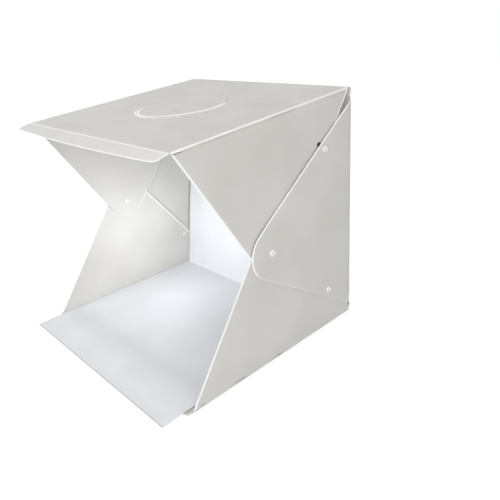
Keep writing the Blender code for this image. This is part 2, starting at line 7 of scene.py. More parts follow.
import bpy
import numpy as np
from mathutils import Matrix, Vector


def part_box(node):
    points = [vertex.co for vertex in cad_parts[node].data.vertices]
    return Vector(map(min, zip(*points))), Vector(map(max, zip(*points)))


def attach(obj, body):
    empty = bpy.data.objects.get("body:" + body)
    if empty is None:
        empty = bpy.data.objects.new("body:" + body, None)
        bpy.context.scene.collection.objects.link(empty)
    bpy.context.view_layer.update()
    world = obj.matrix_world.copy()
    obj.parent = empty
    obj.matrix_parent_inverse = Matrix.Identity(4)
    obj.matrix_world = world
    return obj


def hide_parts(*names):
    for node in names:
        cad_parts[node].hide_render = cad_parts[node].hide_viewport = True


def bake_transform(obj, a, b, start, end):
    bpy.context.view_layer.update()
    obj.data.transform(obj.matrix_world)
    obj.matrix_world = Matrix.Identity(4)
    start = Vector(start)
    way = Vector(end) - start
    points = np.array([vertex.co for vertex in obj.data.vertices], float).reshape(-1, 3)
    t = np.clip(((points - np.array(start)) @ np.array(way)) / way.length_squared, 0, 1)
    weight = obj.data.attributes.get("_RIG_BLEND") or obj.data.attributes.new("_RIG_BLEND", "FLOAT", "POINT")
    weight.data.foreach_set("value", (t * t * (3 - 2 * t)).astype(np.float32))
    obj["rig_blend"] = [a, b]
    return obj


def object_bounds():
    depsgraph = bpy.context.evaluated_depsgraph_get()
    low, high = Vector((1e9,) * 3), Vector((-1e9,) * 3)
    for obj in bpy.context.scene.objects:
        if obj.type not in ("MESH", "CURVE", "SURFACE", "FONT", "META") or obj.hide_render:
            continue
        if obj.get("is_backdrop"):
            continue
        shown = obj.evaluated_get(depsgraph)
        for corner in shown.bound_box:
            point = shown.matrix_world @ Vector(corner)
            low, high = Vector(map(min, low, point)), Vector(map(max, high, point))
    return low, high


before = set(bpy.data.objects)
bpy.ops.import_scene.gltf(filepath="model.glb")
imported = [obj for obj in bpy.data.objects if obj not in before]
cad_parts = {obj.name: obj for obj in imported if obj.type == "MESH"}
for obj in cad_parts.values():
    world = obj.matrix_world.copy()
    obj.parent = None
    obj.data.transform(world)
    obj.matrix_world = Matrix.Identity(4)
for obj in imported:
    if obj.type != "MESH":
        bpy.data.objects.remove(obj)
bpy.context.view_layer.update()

# %% [markdown]
# The sizes come first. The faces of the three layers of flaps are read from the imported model,
# and the rest are the cutting sizes of the sheet. Metres throughout, with X to the right,
# Y to the back and Z up.

# %% Sizes of the sheet and its folds
import bisect
import math

import bmesh
import bpy
from mathutils import Matrix, Vector

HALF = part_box("rear_flap_right")[1].x
LOWER_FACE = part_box("lower_flap_right")[1].x
UPPER_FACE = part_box("upper_flap_right")[1].x
FRONT, BACK = -0.215, 0.215
HEIGHT = 0.420
CREASE = -0.168
TOP_FRONT = -0.1615
FRONT_DROP = 0.0385
SHEET = 0.0008
GAP = 0.0003
SEAT = 0.0003
BEND = 0.008
BEND_BACK = BACK - BEND
TOP_RUN, TOP_RISE = BEND_BACK - TOP_FRONT, FRONT_DROP - BEND
TOP_REACH = math.hypot(TOP_RUN, TOP_RISE)
SLOPE = math.atan2(TOP_RISE, TOP_RUN) + math.asin(BEND / TOP_REACH)
TOP_LENGTH = math.sqrt(TOP_REACH**2 - BEND**2)
ACROSS = Vector((1, 0, 0))
ALONG = Vector((0, math.cos(SLOPE), math.sin(SLOPE)))
UPWARD = ACROSS.cross(ALONG)
TOP_CORNER = Vector((0, TOP_FRONT, HEIGHT - FRONT_DROP))
SIDES = ((1, "right"), (-1, "left"))
RUN = BEND_BACK - CREASE
SNAPS = {
    name: (CREASE + RUN * back, HEIGHT * up)
    for name, (back, up) in {
        "middle": (0.464, 0.455),
        "high": (0.8135, 0.7835),
        "low": (0.8335, 0.1735),
    }.items()
}
print("top slopes by", round(math.degrees(SLOPE), 2), "degrees over", round(TOP_LENGTH, 4), "m")

# %% [markdown]
# Every material in this lesson is made of nodes. One function adds a node, sets it and links it.
# A link comes from a socket, or from a node's first output. Another function turns the colour
# codes of a screen into the linear values of the shader. A third lays colours, roughness and
# relief on a shader, so that a material reads like a recipe. A colour mix has several inputs and
# outputs of one name, so four short names stand for those in use.

# %% Helpers for materials
SHARE, FIRST, SECOND, MIXED = 0, 6, 7, 2


def linear(code):
    """A colour's linear red, green, blue and alpha from its sRGB hex code."""
    values = [int(code[i : i + 2], 16) / 255 for i in (1, 3, 5)]
    return (*[v / 12.92 if v <= 0.04045 else ((v + 0.055) / 1.055) ** 2.4 for v in values], 1)


def feed(tree, node, sockets):
    """Give a node's sockets their values, or links from sockets or from nodes."""
    for name, value in sockets.items():
        if isinstance(value, bpy.types.Node):
            value = value.outputs[0]
        if isinstance(value, bpy.types.NodeSocket):
            tree.links.new(value, node.inputs[name])
        else:
            node.inputs[name].default_value = value


def put(tree, kind, sockets=None, **settings):
    """Add a node with its settings and its sockets' values and links."""
    node = tree.nodes.new(kind)
    for name, value in settings.items():
        setattr(node, name, value)
    feed(tree, node, sockets or {})
    return node


def start_material(name, code, roughness, **constants):
    """A material with a plain shader, and the coordinates that its patterns read."""
    made = bpy.data.materials.new(name)
    made.use_nodes = True
    tree = made.node_tree
    shader = tree.nodes["Principled BSDF"]
    constants = {name.replace("_", " "): value for name, value in constants.items()}
    feed(tree, shader, {"Base Color": linear(code), "Roughness": roughness, **constants})
    return made, tree, shader, put(tree, "ShaderNodeTexCoord").outputs["Object"]


def surface(tree, shader, colours=(), rough=None, relief=()):
    """Lay colours over the shader's own by their shares, and stack heights with their depths."""
    colour = shader.inputs["Base Color"].default_value[:]
    for share, code in colours:
        mix = {SHARE: share, FIRST: colour, SECOND: linear(code)}
        colour = put(tree, "ShaderNodeMix", mix, data_type="RGBA").outputs[MIXED]
    last = {"Base Color": colour}
    if rough:
        last["Roughness"] = rough
    below = {}
    for height, depth in relief:
        below["Normal"] = put(
            tree, "ShaderNodeBump", {"Height": height, "Distance": depth, **below}
        )
    feed(tree, shader, {**last, **below})
    return colour


def grained(
    name, code, roughness, pattern=None, second=None, rough=None, skin=None, span=(0.3, 0.7),
    stretch=(1, 1, 1), **constants,
):
    """A moulded or drawn material. A pattern has the size and the detail of its noise, and
    spreads the second colour and the roughness. A skin has a depth too, and is the relief."""
    made, tree, shader, place = start_material(name, code, roughness, **constants)
    place = put(tree, "ShaderNodeMapping", {"Vector": place, "Scale": stretch})
    noises = [
        put(tree, "ShaderNodeTexNoise", {"Vector": place, "Scale": 1 / kind[0], "Detail": kind[1]})
        for kind in (pattern, skin) if kind
    ]
    colours, spread = [], None
    if pattern:
        share = {"Value": noises[0], "From Min": span[0], "From Max": span[1]}
        if second:
            colours.append((put(tree, "ShaderNodeMapRange", share), second))
        if rough:
            ends = {**share, "To Min": rough[0], "To Max": rough[1]}
            spread = put(tree, "ShaderNodeMapRange", ends)
    surface(tree, shader, colours, spread, [(noises[-1], skin[2])] if skin else [])
    return made


# %% [markdown]
# The sheet is white polypropylene, 0.8 mm thick, rolled between steel cylinders. That gives it a satin face
# with a fine grain, and it lets a little light through, so that layers show where they lie on each other.
# Where a crease has bent it, the plastic turns pale. The near-white rim along its cut edges is a painted
# highlight, where the light catches them. The creases that face the light get a painted highlight over their
# pale, and the lip's face is painted paler as painted light. Two attributes of the mesh say where that is.
# The grain is really about a tenth of a millimetre. It is drawn a millimetre wide here, so that it shows at
# all.

# %% Polypropylene sheet
PANEL_GREY = "#CECCC7"
PANEL_PALE = "#D5D3CF"
# The cut edge colour is a painted highlight along the cut edges. The bent edge colour is the pale of a bent
# crease, with painted highlight on creases that face the light and painted light on the lip.
CUT_EDGE_HIGHLIGHT = "#FEFEFD"
BENT_PALE_AND_PAINTED_LIGHT = "#FBFAF8"
CLOUD = 0.11
GRAIN = 0.0011
ROLLER_LINE = 0.004
RUB = 0.018
SHINE_THROUGH = 0.05

polypropylene_sheet, tree, shader, place = start_material(
    "polypropylene sheet, rolled", PANEL_GREY, 0.45, IOR=1.49
)
cloud = put(tree, "ShaderNodeTexNoise", {"Vector": place, "Scale": 1 / CLOUD})
clouded = put(tree, "ShaderNodeMapRange", {"Value": cloud, "From Min": 0.35, "From Max": 0.65})
fine = put(tree, "ShaderNodeTexNoise", {"Vector": place, "Scale": 1 / RUB, "Detail": 4.0})
worn = put(
    tree, "ShaderNodeMapRange",
    {"Value": fine, "From Min": 0.3, "From Max": 0.7, "To Min": 0.6, "To Max": 0.95},
)
bent = put(tree, "ShaderNodeAttribute", attribute_name="crease").outputs["Fac"]
pale = put(tree, "ShaderNodeMath", {0: bent, 1: worn}, operation="MULTIPLY")
light_and_shade_share = put(tree, "ShaderNodeAttribute", attribute_name="edge").outputs["Fac"]
along_rub = put(tree, "ShaderNodeMapping", {"Vector": place, "Scale": (0.3, 1.0, 1.6)})
rubs = put(tree, "ShaderNodeTexNoise", {"Vector": along_rub, "Scale": 1 / RUB, "Detail": 5.0})
rough = put(
    tree, "ShaderNodeMapRange",
    {"Value": rubs, "From Min": 0.3, "From Max": 0.7, "To Min": 0.38, "To Max": 0.54},
)
grain = put(tree, "ShaderNodeTexNoise", {"Vector": place, "Scale": 1 / GRAIN, "Detail": 3.0})
roller = put(tree, "ShaderNodeMapping", {"Vector": place, "Scale": (1.0, 0.04, 0.04)})
lines = put(tree, "ShaderNodeTexNoise", {"Vector": roller, "Scale": 1 / ROLLER_LINE})
# The last two colours are painted light. The first is the bent pale, with its painted highlight and the
# lip's painted light. The second is a painted highlight along the cut edges.
colours = [(clouded, PANEL_PALE), (pale, BENT_PALE_AND_PAINTED_LIGHT), (light_and_shade_share, CUT_EDGE_HIGHLIGHT)]
colour = surface(tree, shader, colours, rough, [(grain, 0.00002), (lines, 0.00006)])
light = put(tree, "ShaderNodeBsdfTranslucent", {"Color": colour})
both = put(tree, "ShaderNodeMixShader", {0: SHINE_THROUGH, 1: shader, 2: light})
feed(tree, tree.nodes["Material Output"], {"Surface": both})
print("made", polypropylene_sheet.name)

# %% [markdown]
# The backdrop is calendered vinyl, cooler in colour than the panels and more matt. Its fine leather grain
# keeps reflections away from whatever is photographed on it. Its front edge is painted grey, as a painted
# shade under that edge, and a faint grey band of painted shade lies along the wave of an old fold.

# %% Backdrop vinyl
VINYL_SHADE = "#DFE1E5"
VINYL_PALE = "#E6E8EB"
# The grey of the painted shade under the front edge and along the wave.
VINYL_PAINTED_SHADE = "#A9AAAC"
VINYL_GRAIN = 0.0016
WAVE_CLOUD = 0.09
SWELL = 0.03

backdrop_vinyl, tree, shader, place = start_material(
    "vinyl, calendered", VINYL_SHADE, 0.6, IOR=1.52
)
cloud = put(tree, "ShaderNodeTexNoise", {"Vector": place, "Scale": 1 / WAVE_CLOUD, "Detail": 3.0})
share = put(tree, "ShaderNodeMapRange", {"Value": cloud, "From Min": 0.3, "From Max": 0.7})
light_and_shade_share = put(tree, "ShaderNodeAttribute", attribute_name="edge").outputs["Fac"]
cells = put(
    tree, "ShaderNodeTexVoronoi", {"Vector": place, "Scale": 1 / VINYL_GRAIN}, feature="SMOOTH_F1"
)
rough = put(
    tree, "ShaderNodeMapRange", {"Value": cells, "From Max": 0.8, "To Min": 0.52, "To Max": 0.68}
)
swell = put(tree, "ShaderNodeTexNoise", {"Vector": place, "Scale": 1 / SWELL})
# The grey laid over the vinyl is painted shade.
colours = [(share, VINYL_PALE), (light_and_shade_share, VINYL_PAINTED_SHADE)]
surface(tree, shader, colours, rough, [(cells, 0.00005), (swell, 0.0002)])
print("made", backdrop_vinyl.name)

# %% [markdown]
# The snaps are moulded polypropylene. A mould is polished, so they shine more than the sheet,
# with faint flow marks round the gate in the middle. The grommet is black rubber, dusted grey
# where fingers have rubbed it.

# %% Snap plastic and grommet rubber
snap_plastic = grained(
    "polypropylene, moulded", "#DDDCD8", 0.3, pattern=(0.0035, 2.0), second="#E8E7E4",
    rough=(0.26, 0.4), skin=(0.0012, 3.0, 0.00002), IOR=1.49,
)
grommet_rubber = grained(
    "rubber, moulded", "#151515", 0.62, pattern=(0.0025, 4.0), second="#2C2B2A",
    rough=(0.55, 0.75), skin=(0.0008, 2.0, 0.00003), span=(0.45, 0.75), IOR=1.52,
)
print("made", snap_plastic.name, "and", grommet_rubber.name)

# %% [markdown]
# The light bar is a satin anodised aluminium channel with the fine draw lines of its die, which
# run along it. It holds a white-coated glass-epoxy board of light chips, each a white frame
# round a yellow phosphor, under a frosted polycarbonate cover. Its ends are moulded ABS, and its
# inlet has a nickel pin.

# %% Materials of the light bar
DRAW_LINE = 0.0007
TRACK_PITCH, TRACK_ROW, TRACK_GAP = 0.0121, 0.0024, 0.0003

bar_aluminium = grained(
    "aluminium, anodised", "#BCBEC0", 0.34, pattern=(DRAW_LINE, 3.0), second="#CFD1D3",
    rough=(0.28, 0.42), skin=(DRAW_LINE, 3.0, 0.00002), stretch=(0.02, 1.0, 1.0), Metallic=1.0,
)

board_coat, tree, shader, place = start_material(
    "glass epoxy, white coat", "#EEEEE9", 0.38, IOR=1.52
)
tracks = put(
    tree, "ShaderNodeTexBrick",
    {"Vector": place, "Scale": 1.0, "Brick Width": TRACK_PITCH, "Row Height": TRACK_ROW,
     "Mortar Size": TRACK_GAP, "Color1": linear("#EFEFEB"), "Color2": linear("#ECECE6"),
     "Mortar": linear("#D9D9CF")},
)
surface(tree, shader, relief=[(tracks.outputs["Fac"], 0.00004)])
feed(tree, shader, {"Base Color": tracks})

chip_frame = grained(
    "polyamide, moulded", "#F2F1EC", 0.42, skin=(0.0009, 2.0, 0.00002), IOR=1.53
)
phosphor = grained(
    "silicone with phosphor", "#D9C04E", 0.28, pattern=(0.0004, 2.0), second="#EBDA86",
    span=(0.35, 0.65), IOR=1.41,
)
frosted_cover = grained(
    "polycarbonate, frosted", "#F5F5F3", 0.55, pattern=(0.0009, 3.0), rough=(0.46, 0.62),
    skin=(0.0009, 3.0, 0.00003), IOR=1.58, Transmission_Weight=0.55,
)
end_plastic = grained(
    "abs, moulded", "#2A2A2C", 0.48, pattern=(0.0007, 3.0), rough=(0.42, 0.6),
    skin=(0.0007, 3.0, 0.00004), IOR=1.54,
)
plated_pin = grained("nickel plate", "#C9C5BC", 0.22, skin=(0.0006, 2.0, 0.00001), Metallic=1.0)

nylon_pile, tree, shader, place = start_material(
    "nylon, woven", "#E3E3E3", 0.82, IOR=1.53, Sheen_Weight=0.5
)
weave = put(
    tree, "ShaderNodeTexWave", {"Vector": place, "Scale": 90.0, "Distortion": 1.5}
).outputs["Fac"]
surface(tree, shader, [(weave, "#F3F3F3")], relief=[(weave, 0.0001)])
print("made", len(bpy.data.materials), "materials")

# %% [markdown]
# A flat panel starts as a drawing: an outline with its holes. It is filled, gets a narrow rim along its
# edges for the painted highlight and the pale of the creases, and is cut into cells, so that it can bend.
# Then it is laid out in space and made as thick as the sheet. A small bevel rounds its cut edges, because a
# die leaves no sharp edge and the round catches the light.

# %% Helpers for outlines
RIM = 0.0021
FADE = 0.0009
# A mark is a pair: the share of the painted highlight along a cut edge, and the pale of a crease.
CUT, BENT, FAINT = (1.0, 0.0), (0.0, 0.35), (0.0, 0.08)
INNER_PALE = 0.1
CELL = 0.022
EDGE_START = 0.004
BEVEL = 0.00016
EDGE_ANGLE = math.radians(38)
MERGE = 0.000002
TIP_STEPS = 40


def eased(share):
    """A share held between 0 and 1, with soft ends."""
    share = max(0.0, min(1.0, share))
    return share * share * (3 - 2 * share)


def arc(centre, radius, start, end, steps):
    """Points along part of a circle."""
    turns = [start + (end - start) * i / steps for i in range(steps + 1)]
    return [(centre[0] + radius * math.cos(t), centre[1] + radius * math.sin(t)) for t in turns]


def circle(centre, radius, steps=28):
    """Points round a whole circle."""
    return arc(centre, radius, 0, math.tau, steps)[:-1]


def tongue(start, end, tip, radius):
    """A flap's outline: a tangent from its crease to its round tip, and one back again."""
    angles = []
    for corner, turn in ((start, 1), (end, -1)):
        out, up = corner[0] - tip[0], corner[1] - tip[1]
        angles.append(math.atan2(up, out) + turn * math.acos(radius / math.hypot(out, up)))
    first, last = angles
    while last < first:
        last += math.tau
    around = arc(tip, radius, first, last, TIP_STEPS)
    beside = []
    for corner, touch in ((start, around[0]), (end, around[-1])):
        share = EDGE_START / math.dist(corner, touch)
        beside.append(tuple(c + (t - c) * share for c, t in zip(corner, touch)))
    return [start, beside[0], *around, beside[1], end]


def mirrored(points):
    """An outline's right half with its left one."""
    return points + [(-a, b) for a, b in reversed(points)]


def filled(outline, holes=()):
    """A flat face with holes, which looks up."""
    shape = bmesh.new()
    edges = []
    for loop in (outline, *holes):
        corners = [shape.verts.new((a, b, 0)) for a, b in loop]
        edges += [shape.edges.new((p, q)) for p, q in zip(corners, corners[1:] + corners[:1])]
    bmesh.ops.triangle_fill(shape, edges=edges, use_beauty=True, use_dissolve=False)
    shape.normal_update()
    for face in shape.faces:
        if face.normal.z < 0:
            face.normal_flip()
    return shape


def else_cut(bent):
    """Marks of an outline that is faintly bent where a test says so, and else cut."""
    return lambda a, b: FAINT if bent(a, b) else CUT


def rimmed(outline, holes=(), marks=None, widths=(RIM, FADE)):
    """A flat face with rings along its outline, where the marks give its painted highlight and its crease's
    pale.
    """
    shape = filled(outline, holes)
    edge = shape.verts.layers.float.new("edge")
    crease = shape.verts.layers.float.new("crease")
    inner, rim = shape.faces[:], None
    for width in widths:
        ring = set(bmesh.ops.inset_region(
            shape, faces=inner, thickness=width, use_boundary=True, use_even_offset=True
        )["faces"])
        inner = [face for face in inner if face not in ring]
        rim = rim or ring
    for corner in {corner for face in rim for corner in face.verts}:
        outer = corner
        if not corner.is_boundary:
            near = [e.other_vert(corner) for e in corner.link_edges]
            near = [other for other in near if other.is_boundary]
            outer = min(near, key=lambda other: (other.co - corner.co).length, default=corner)
        light_and_shade_share, bent = marks(outer.co.x, outer.co.y) if marks else CUT
        corner[edge] = light_and_shade_share
        corner[crease] = bent if corner is outer else bent * INNER_PALE
    return shape


def cut_across(shape, direction, places):
    """Cut a flat face along straight lines, so that it can bend there."""
    for place in places:
        bmesh.ops.bisect_plane(
            shape, geom=[*shape.verts, *shape.edges, *shape.faces],
            plane_co=Vector(direction) * place, plane_no=direction, dist=MERGE,
        )


def cut_cells(shape):
    """Cut a flat face into square cells."""
    for axis in (0, 1):
        places = [corner.co[axis] for corner in shape.verts]
        low, high = min(places), max(places)
        count = math.ceil((high - low) / CELL)
        direction = Vector((axis == 0, axis == 1, 0))
        cut_across(shape, direction, [low + (high - low) * i / count for i in range(1, count)])


def placed(name, mesh):
    """An object of the scene with a mesh."""
    piece = bpy.data.objects.new(name, mesh)
    bpy.context.scene.collection.objects.link(piece)
    return piece


def link(name, shape, material):
    """Turn a shape into an object with its material."""
    mesh = bpy.data.meshes.new(name)
    shape.to_mesh(mesh)
    shape.free()
    mesh.materials.append(material)
    mesh.shade_smooth()
    return placed(name, mesh)


def settle(piece):
    """Apply what shapes a piece, so that a plain mesh is left."""
    graph = bpy.context.evaluated_depsgraph_get()
    mesh = bpy.data.meshes.new_from_object(
        piece.evaluated_get(graph), preserve_all_data_layers=True, depsgraph=graph
    )
    mesh.name = piece.name
    piece.modifiers.clear()
    piece.data = mesh
    return piece


def thicken(piece, wall, offset=-1, bevel=BEVEL, segments=2):
    """Give a face its wall and round its edges."""
    thick = piece.modifiers.new("wall", "SOLIDIFY")
    thick.thickness = wall
    thick.offset = offset
    soften(piece, bevel, segments)
    return settle(piece)


def forget(*pieces):
    """Remove pieces that only served to make others."""
    for piece in pieces:
        bpy.data.objects.remove(piece)


def closed_up(shape):
    """Turn a closed form's faces outward."""
    bmesh.ops.recalc_face_normals(shape, faces=shape.faces[:])
    if shape.calc_volume(signed=True) < 0:
        bmesh.ops.reverse_faces(shape, faces=shape.faces[:])


def soften(piece, width, segments=2):
    """Round a piece's edges."""
    bevel = piece.modifiers.new("round edges", "BEVEL")
    bevel.width = width
    bevel.segments = segments
    bevel.limit_method = "ANGLE"
    bevel.angle_limit = EDGE_ANGLE
    bevel.harden_normals = True


def panel(name, shape, place, flip=False):
    """Lay a flat shape out in space as a panel of the sheet's thickness."""
    cut_cells(shape)
    for corner in shape.verts:
        corner.co = place(corner.co.x, corner.co.y)
    if flip:
        bmesh.ops.reverse_faces(shape, faces=shape.faces[:])
    return thicken(link(name, shape, polypropylene_sheet), SHEET)


def lofted(shape, rows, outward, closed=False):
    """Faces between rows of corners, turned to look outward at the middle of the first row."""
    for near, far in zip(rows, rows[1:]):
        for i in range(len(near) - (not closed)):
            after = (i + 1) % len(near)
            shape.faces.new((near[i], near[after], far[after], far[i]))
    shape.normal_update()
    if shape.faces[:][len(rows[0]) // 2].normal.dot(outward) < 0:
        bmesh.ops.reverse_faces(shape, faces=shape.faces[:])


def fit(piece, body, slot, *nodes):
    """The piece rides on its body and stands for its nodes, which are hidden. Its slot is not used."""
    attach(piece, body)
    if nodes:
        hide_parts(*nodes)
    reach = [round(1000 * length, 1) for length in piece.dimensions]
    print(piece.name, "rides on", body, "and is", *reach, "mm,", len(piece.data.polygons), "faces")


# %% [markdown]
# A crease is a living hinge: the sheet is pressed thin along a line and bends there. On the
# model each panel ends a little before the line, and a narrow web joins the two, bent round.
# The web is blended between the two bodies, so that it bends further as the tent folds.

# %% Helper for crease webs
WEB = 0.0016
WEB_WALL = 0.0005
FOLD = 0.0021
FOLD_STEPS = 8


def web(name, section, first, last, outward, bodies, pale):
    """A thin strip along a crease. The section is a list of offsets from the line."""
    shape = bmesh.new()
    crease = shape.verts.layers.float.new("crease")
    count = max(2, math.ceil((last - first).length / CELL))
    points = [first.lerp(last, i / count) for i in range(count + 1)]
    rows = [[shape.verts.new(point + offset) for offset in section] for point in points]
    for corner in shape.verts:
        corner[crease] = pale
    lofted(shape, rows, outward)
    piece = thicken(link(name, shape, polypropylene_sheet), WEB_WALL, bevel=BEVEL / 2, segments=1)
    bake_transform(piece, *bodies, start=first + section[0], end=first + section[-1])
    print(piece.name, "bends between", " and ".join(bodies))


def quarter(centre, across, up, radius):
    """Offsets round a quarter turn from the direction up to the direction across."""
    turns = [math.pi / 2 * i / FOLD_STEPS for i in range(FOLD_STEPS + 1)]
    return [centre + across * radius * math.sin(t) + up * radius * math.cos(t) for t in turns]


# %% [markdown]
# The floor and the back are one length of sheet, rolled at the back's foot and head. The drawing
# runs up the back's length, and each point is then taken round the bends by its length along
# them, so that no area is gained or lost, as in the real sheet.

# %% Floor and back
FLOOR_LEDGE = 0.011
FLOOR_CORNER = 0.006
CORNER_STEPS = 10
BEND_STEPS = 16
REAR_FOOT = 0.0143
REAR_DROP = 0.0155

inner, front = LOWER_FACE - FLOOR_CORNER, CREASE - FLOOR_LEDGE
corner_arc = arc((inner, front + FLOOR_CORNER), FLOOR_CORNER, -math.pi / 2, 0, CORNER_STEPS)
fold_edge = LOWER_FACE - FOLD
outline = mirrored(
    [*corner_arc, (LOWER_FACE, CREASE), (fold_edge, CREASE), (fold_edge, BEND_BACK)]
)
marks = else_cut(lambda a, b: abs(a) < LOWER_FACE - FOLD / 2 and b > CREASE - GAP)
shape = rimmed(outline, marks=marks)
floor_panel = panel("floor_panel", shape, lambda a, b: Vector((-a, b, 0)))
fit(floor_panel, "base", "panel", "base_panel")

LOWER_TURN = BEND * math.pi / 2
UPPER_TURN = BEND * (math.pi / 2 + SLOPE)
UPRIGHT = HEIGHT - 2 * BEND


def back_line(length):
    """A place on the back's outer face, at a length from where it leaves the floor."""
    if length < LOWER_TURN:
        angle, middle = length / BEND - math.pi / 2, BEND
    elif length < LOWER_TURN + UPRIGHT:
        return BACK, BEND + length - LOWER_TURN
    else:
        angle, middle = (length - LOWER_TURN - UPRIGHT) / BEND, HEIGHT - BEND
    return BEND_BACK + BEND * math.cos(angle), middle + BEND * math.sin(angle)


def on_back(a, b):
    """A place on the back from its drawing."""
    back, up = back_line(b)
    return Vector((-a, back, up))


foot = LOWER_TURN - BEND + REAR_FOOT - GAP
head = LOWER_TURN - BEND + HEIGHT - REAR_DROP + GAP
total = LOWER_TURN + UPRIGHT + UPPER_TURN
wide, narrow = UPPER_FACE, HALF - BEND - WEB
outline = mirrored([
    (wide, 0), (wide, foot), (narrow, foot), (narrow, head), (wide, head), (wide, total - WEB),
])
marks = else_cut(
    lambda a, b: foot < b < head and abs(a) < narrow + GAP or b > total - 2 * WEB
)
shape = rimmed(outline, marks=marks)
stations = [LOWER_TURN * i / BEND_STEPS for i in range(1, BEND_STEPS + 1)]
stations += [LOWER_TURN + UPRIGHT + UPPER_TURN * i / BEND_STEPS for i in range(BEND_STEPS)]
cut_across(shape, (0, 1, 0), stations)
fit(panel("rear_wall", shape, on_back), "base", "panel", "back_panel")

# %% [markdown]
# The top runs down to the front. It has a round shooting hatch, so that a camera can look in from above, and
# a lip ahead of it that shades the opening. The hatch is cut on a circle with a straight crease at the back,
# and it stands a little open. Its cut and the top's show as two pale lines, painted highlights on the side
# that faces the lights. The lip's face is painted a little paler, as painted light.

# %% Top, lip and hatch
LIP_LENGTH = 0.027
LIP_BOW = 0.005
LIP_CORNER = 0.010
LIP_DROOP = math.radians(9)
LIP_RIM = 0.0012
# How much paler the lip's face is painted: painted light for the light on its forward slope.
LIP_PAINTED_LIGHT = 0.28
LIP_STEPS = 24
HATCH_RADIUS = 0.078
HATCH_BACK = TOP_LENGTH * 0.485
HATCH_KERF = 0.0004
HATCH_CHORD = math.radians(24)
HATCH_LIFT = math.radians(0.7)
HATCH_TWIST = 0.0009
HATCH_RIM = 0.0036
HATCH_HINGE = HATCH_BACK + HATCH_RADIUS * math.cos(HATCH_CHORD)
# The direction of the hatch's side that faces the lights, where its cut gets a painted highlight.
HATCH_LIT_SIDE = (0.50, -0.87)
HATCH_SOFT = 0.25
HATCH_CURL = 0.0008
HATCH_HALO = 0.006
HATCH_STEPS = 90
ROOF_RINGS = (RIM, FADE, 0.003, 0.004)
LIP_AXIS = TOP_CORNER - UPWARD * SHEET


def on_top(across, along, above=0.0):
    """A place on the top's outer face, measured from the middle of its front crease."""
    return TOP_CORNER + ACROSS * across + ALONG * along + UPWARD * above


def hatch_outline(grow, back):
    """The hatch's outline, grown by a margin, with its straight side set back."""
    radius = HATCH_RADIUS + grow
    turn = math.acos((HATCH_HINGE - HATCH_BACK + back) / radius)
    start, end = math.pi / 2 + turn, math.pi / 2 - turn + math.tau
    return arc((0, HATCH_BACK), radius, start, end, HATCH_STEPS)


def box_outline(low_a, high_a, low_b, high_b):
    """A rectangle's corners."""
    return [(low_a, low_b), (high_a, low_b), (high_a, high_b), (low_a, high_b)]


side_end = UPPER_FACE - FOLD
outline = box_outline(-side_end, side_end, WEB, TOP_LENGTH - WEB)
hole = hatch_outline(HATCH_KERF, WEB)


def hatch_lit_share(a, b):
    """How much painted highlight the hatch's cut gets: fully on its front and right, which face the lights
    and where the flap stands up, and hardly any at its back.
    """
    facing_light = (a * HATCH_LIT_SIDE[0] + (b - HATCH_BACK) * HATCH_LIT_SIDE[1]) / HATCH_RADIUS
    return eased((facing_light + HATCH_SOFT) / (2 * HATCH_SOFT))


def top_marks(a, b):
    """The top's outline is all bends, and only its opening is cut."""
    if math.hypot(a, b - HATCH_BACK) < HATCH_RADIUS + WEB:
        return FAINT if b > HATCH_HINGE + WEB - GAP else (hatch_lit_share(a, b), 0.0)
    return FAINT


def on_roof(a, b):
    """A place on the top, whose sheet curls up a little along the side of its opening that gets the painted
    highlight.
    """
    away = math.hypot(a, b - HATCH_BACK) - HATCH_RADIUS
    return on_top(a, b, HATCH_CURL * hatch_lit_share(a, b) * math.exp(-((away / HATCH_HALO) ** 2)))


shape = rimmed(outline, [hole], top_marks, ROOF_RINGS)
fit(panel("roof_panel", shape, on_roof), "top", "panel", "top_panel")

inner = UPPER_FACE - LIP_CORNER
lip_arc = arc((inner, LIP_LENGTH - LIP_CORNER), LIP_CORNER, 0, math.pi / 2, LIP_STEPS // 2)
spread_out = [inner * (1 - 2 * i / LIP_STEPS) for i in range(1, LIP_STEPS)]
bowed = [(a, LIP_LENGTH + LIP_BOW * (1 - (a / inner) ** 2)) for a in spread_out]
corner_left = [(-a, b) for a, b in reversed(lip_arc)]
edge_line = [(UPPER_FACE, WEB), *lip_arc, *bowed, *corner_left, (-UPPER_FACE, WEB)]
AHEAD = -ALONG * math.cos(LIP_DROOP) - UPWARD * math.sin(LIP_DROOP)
ABOVE = UPWARD * math.cos(LIP_DROOP) - ALONG * math.sin(LIP_DROOP)


def on_lip(a, b):
    """A place on the lip's outer face."""
    return LIP_AXIS - ACROSS * a + AHEAD * b + ABOVE * SHEET


marks = else_cut(lambda a, b: b < 2 * WEB and abs(a) < UPPER_FACE - GAP)
shape = rimmed(edge_line, marks=marks, widths=(LIP_RIM, FADE))
# The lip's whole face is painted paler, more so towards its right: painted light where the light falls on
# its forward slope.
crease = shape.verts.layers.float["crease"]
for corner in shape.verts:
    corner[crease] = max(corner[crease], LIP_PAINTED_LIGHT * (1 - corner.co.x / UPPER_FACE / 2))
fit(panel("front_lip", shape, on_lip), "lip", "panel", "top_lip")


def on_hatch(a, b):
    """A place on the hatch's outer face, which stands a little open and is a little twisted."""
    ahead = HATCH_HINGE - b
    twist = HATCH_TWIST * a / HATCH_RADIUS * ahead / HATCH_RADIUS
    raised = ahead * math.sin(HATCH_LIFT) + twist
    return on_top(a, HATCH_HINGE - ahead * math.cos(HATCH_LIFT), raised)


def hatch_marks(a, b):
    """The hatch is bent at its back, and its cut gets the same painted highlight as the top's."""
    return FAINT if b > HATCH_HINGE - WEB - GAP else (hatch_lit_share(a, b), 0.0)


shape = rimmed(hatch_outline(-HATCH_KERF, -WEB), marks=hatch_marks, widths=(HATCH_RIM, FADE))
fit(panel("shooting_hatch", shape, on_hatch), "hatch", "panel", "hatch_flap")

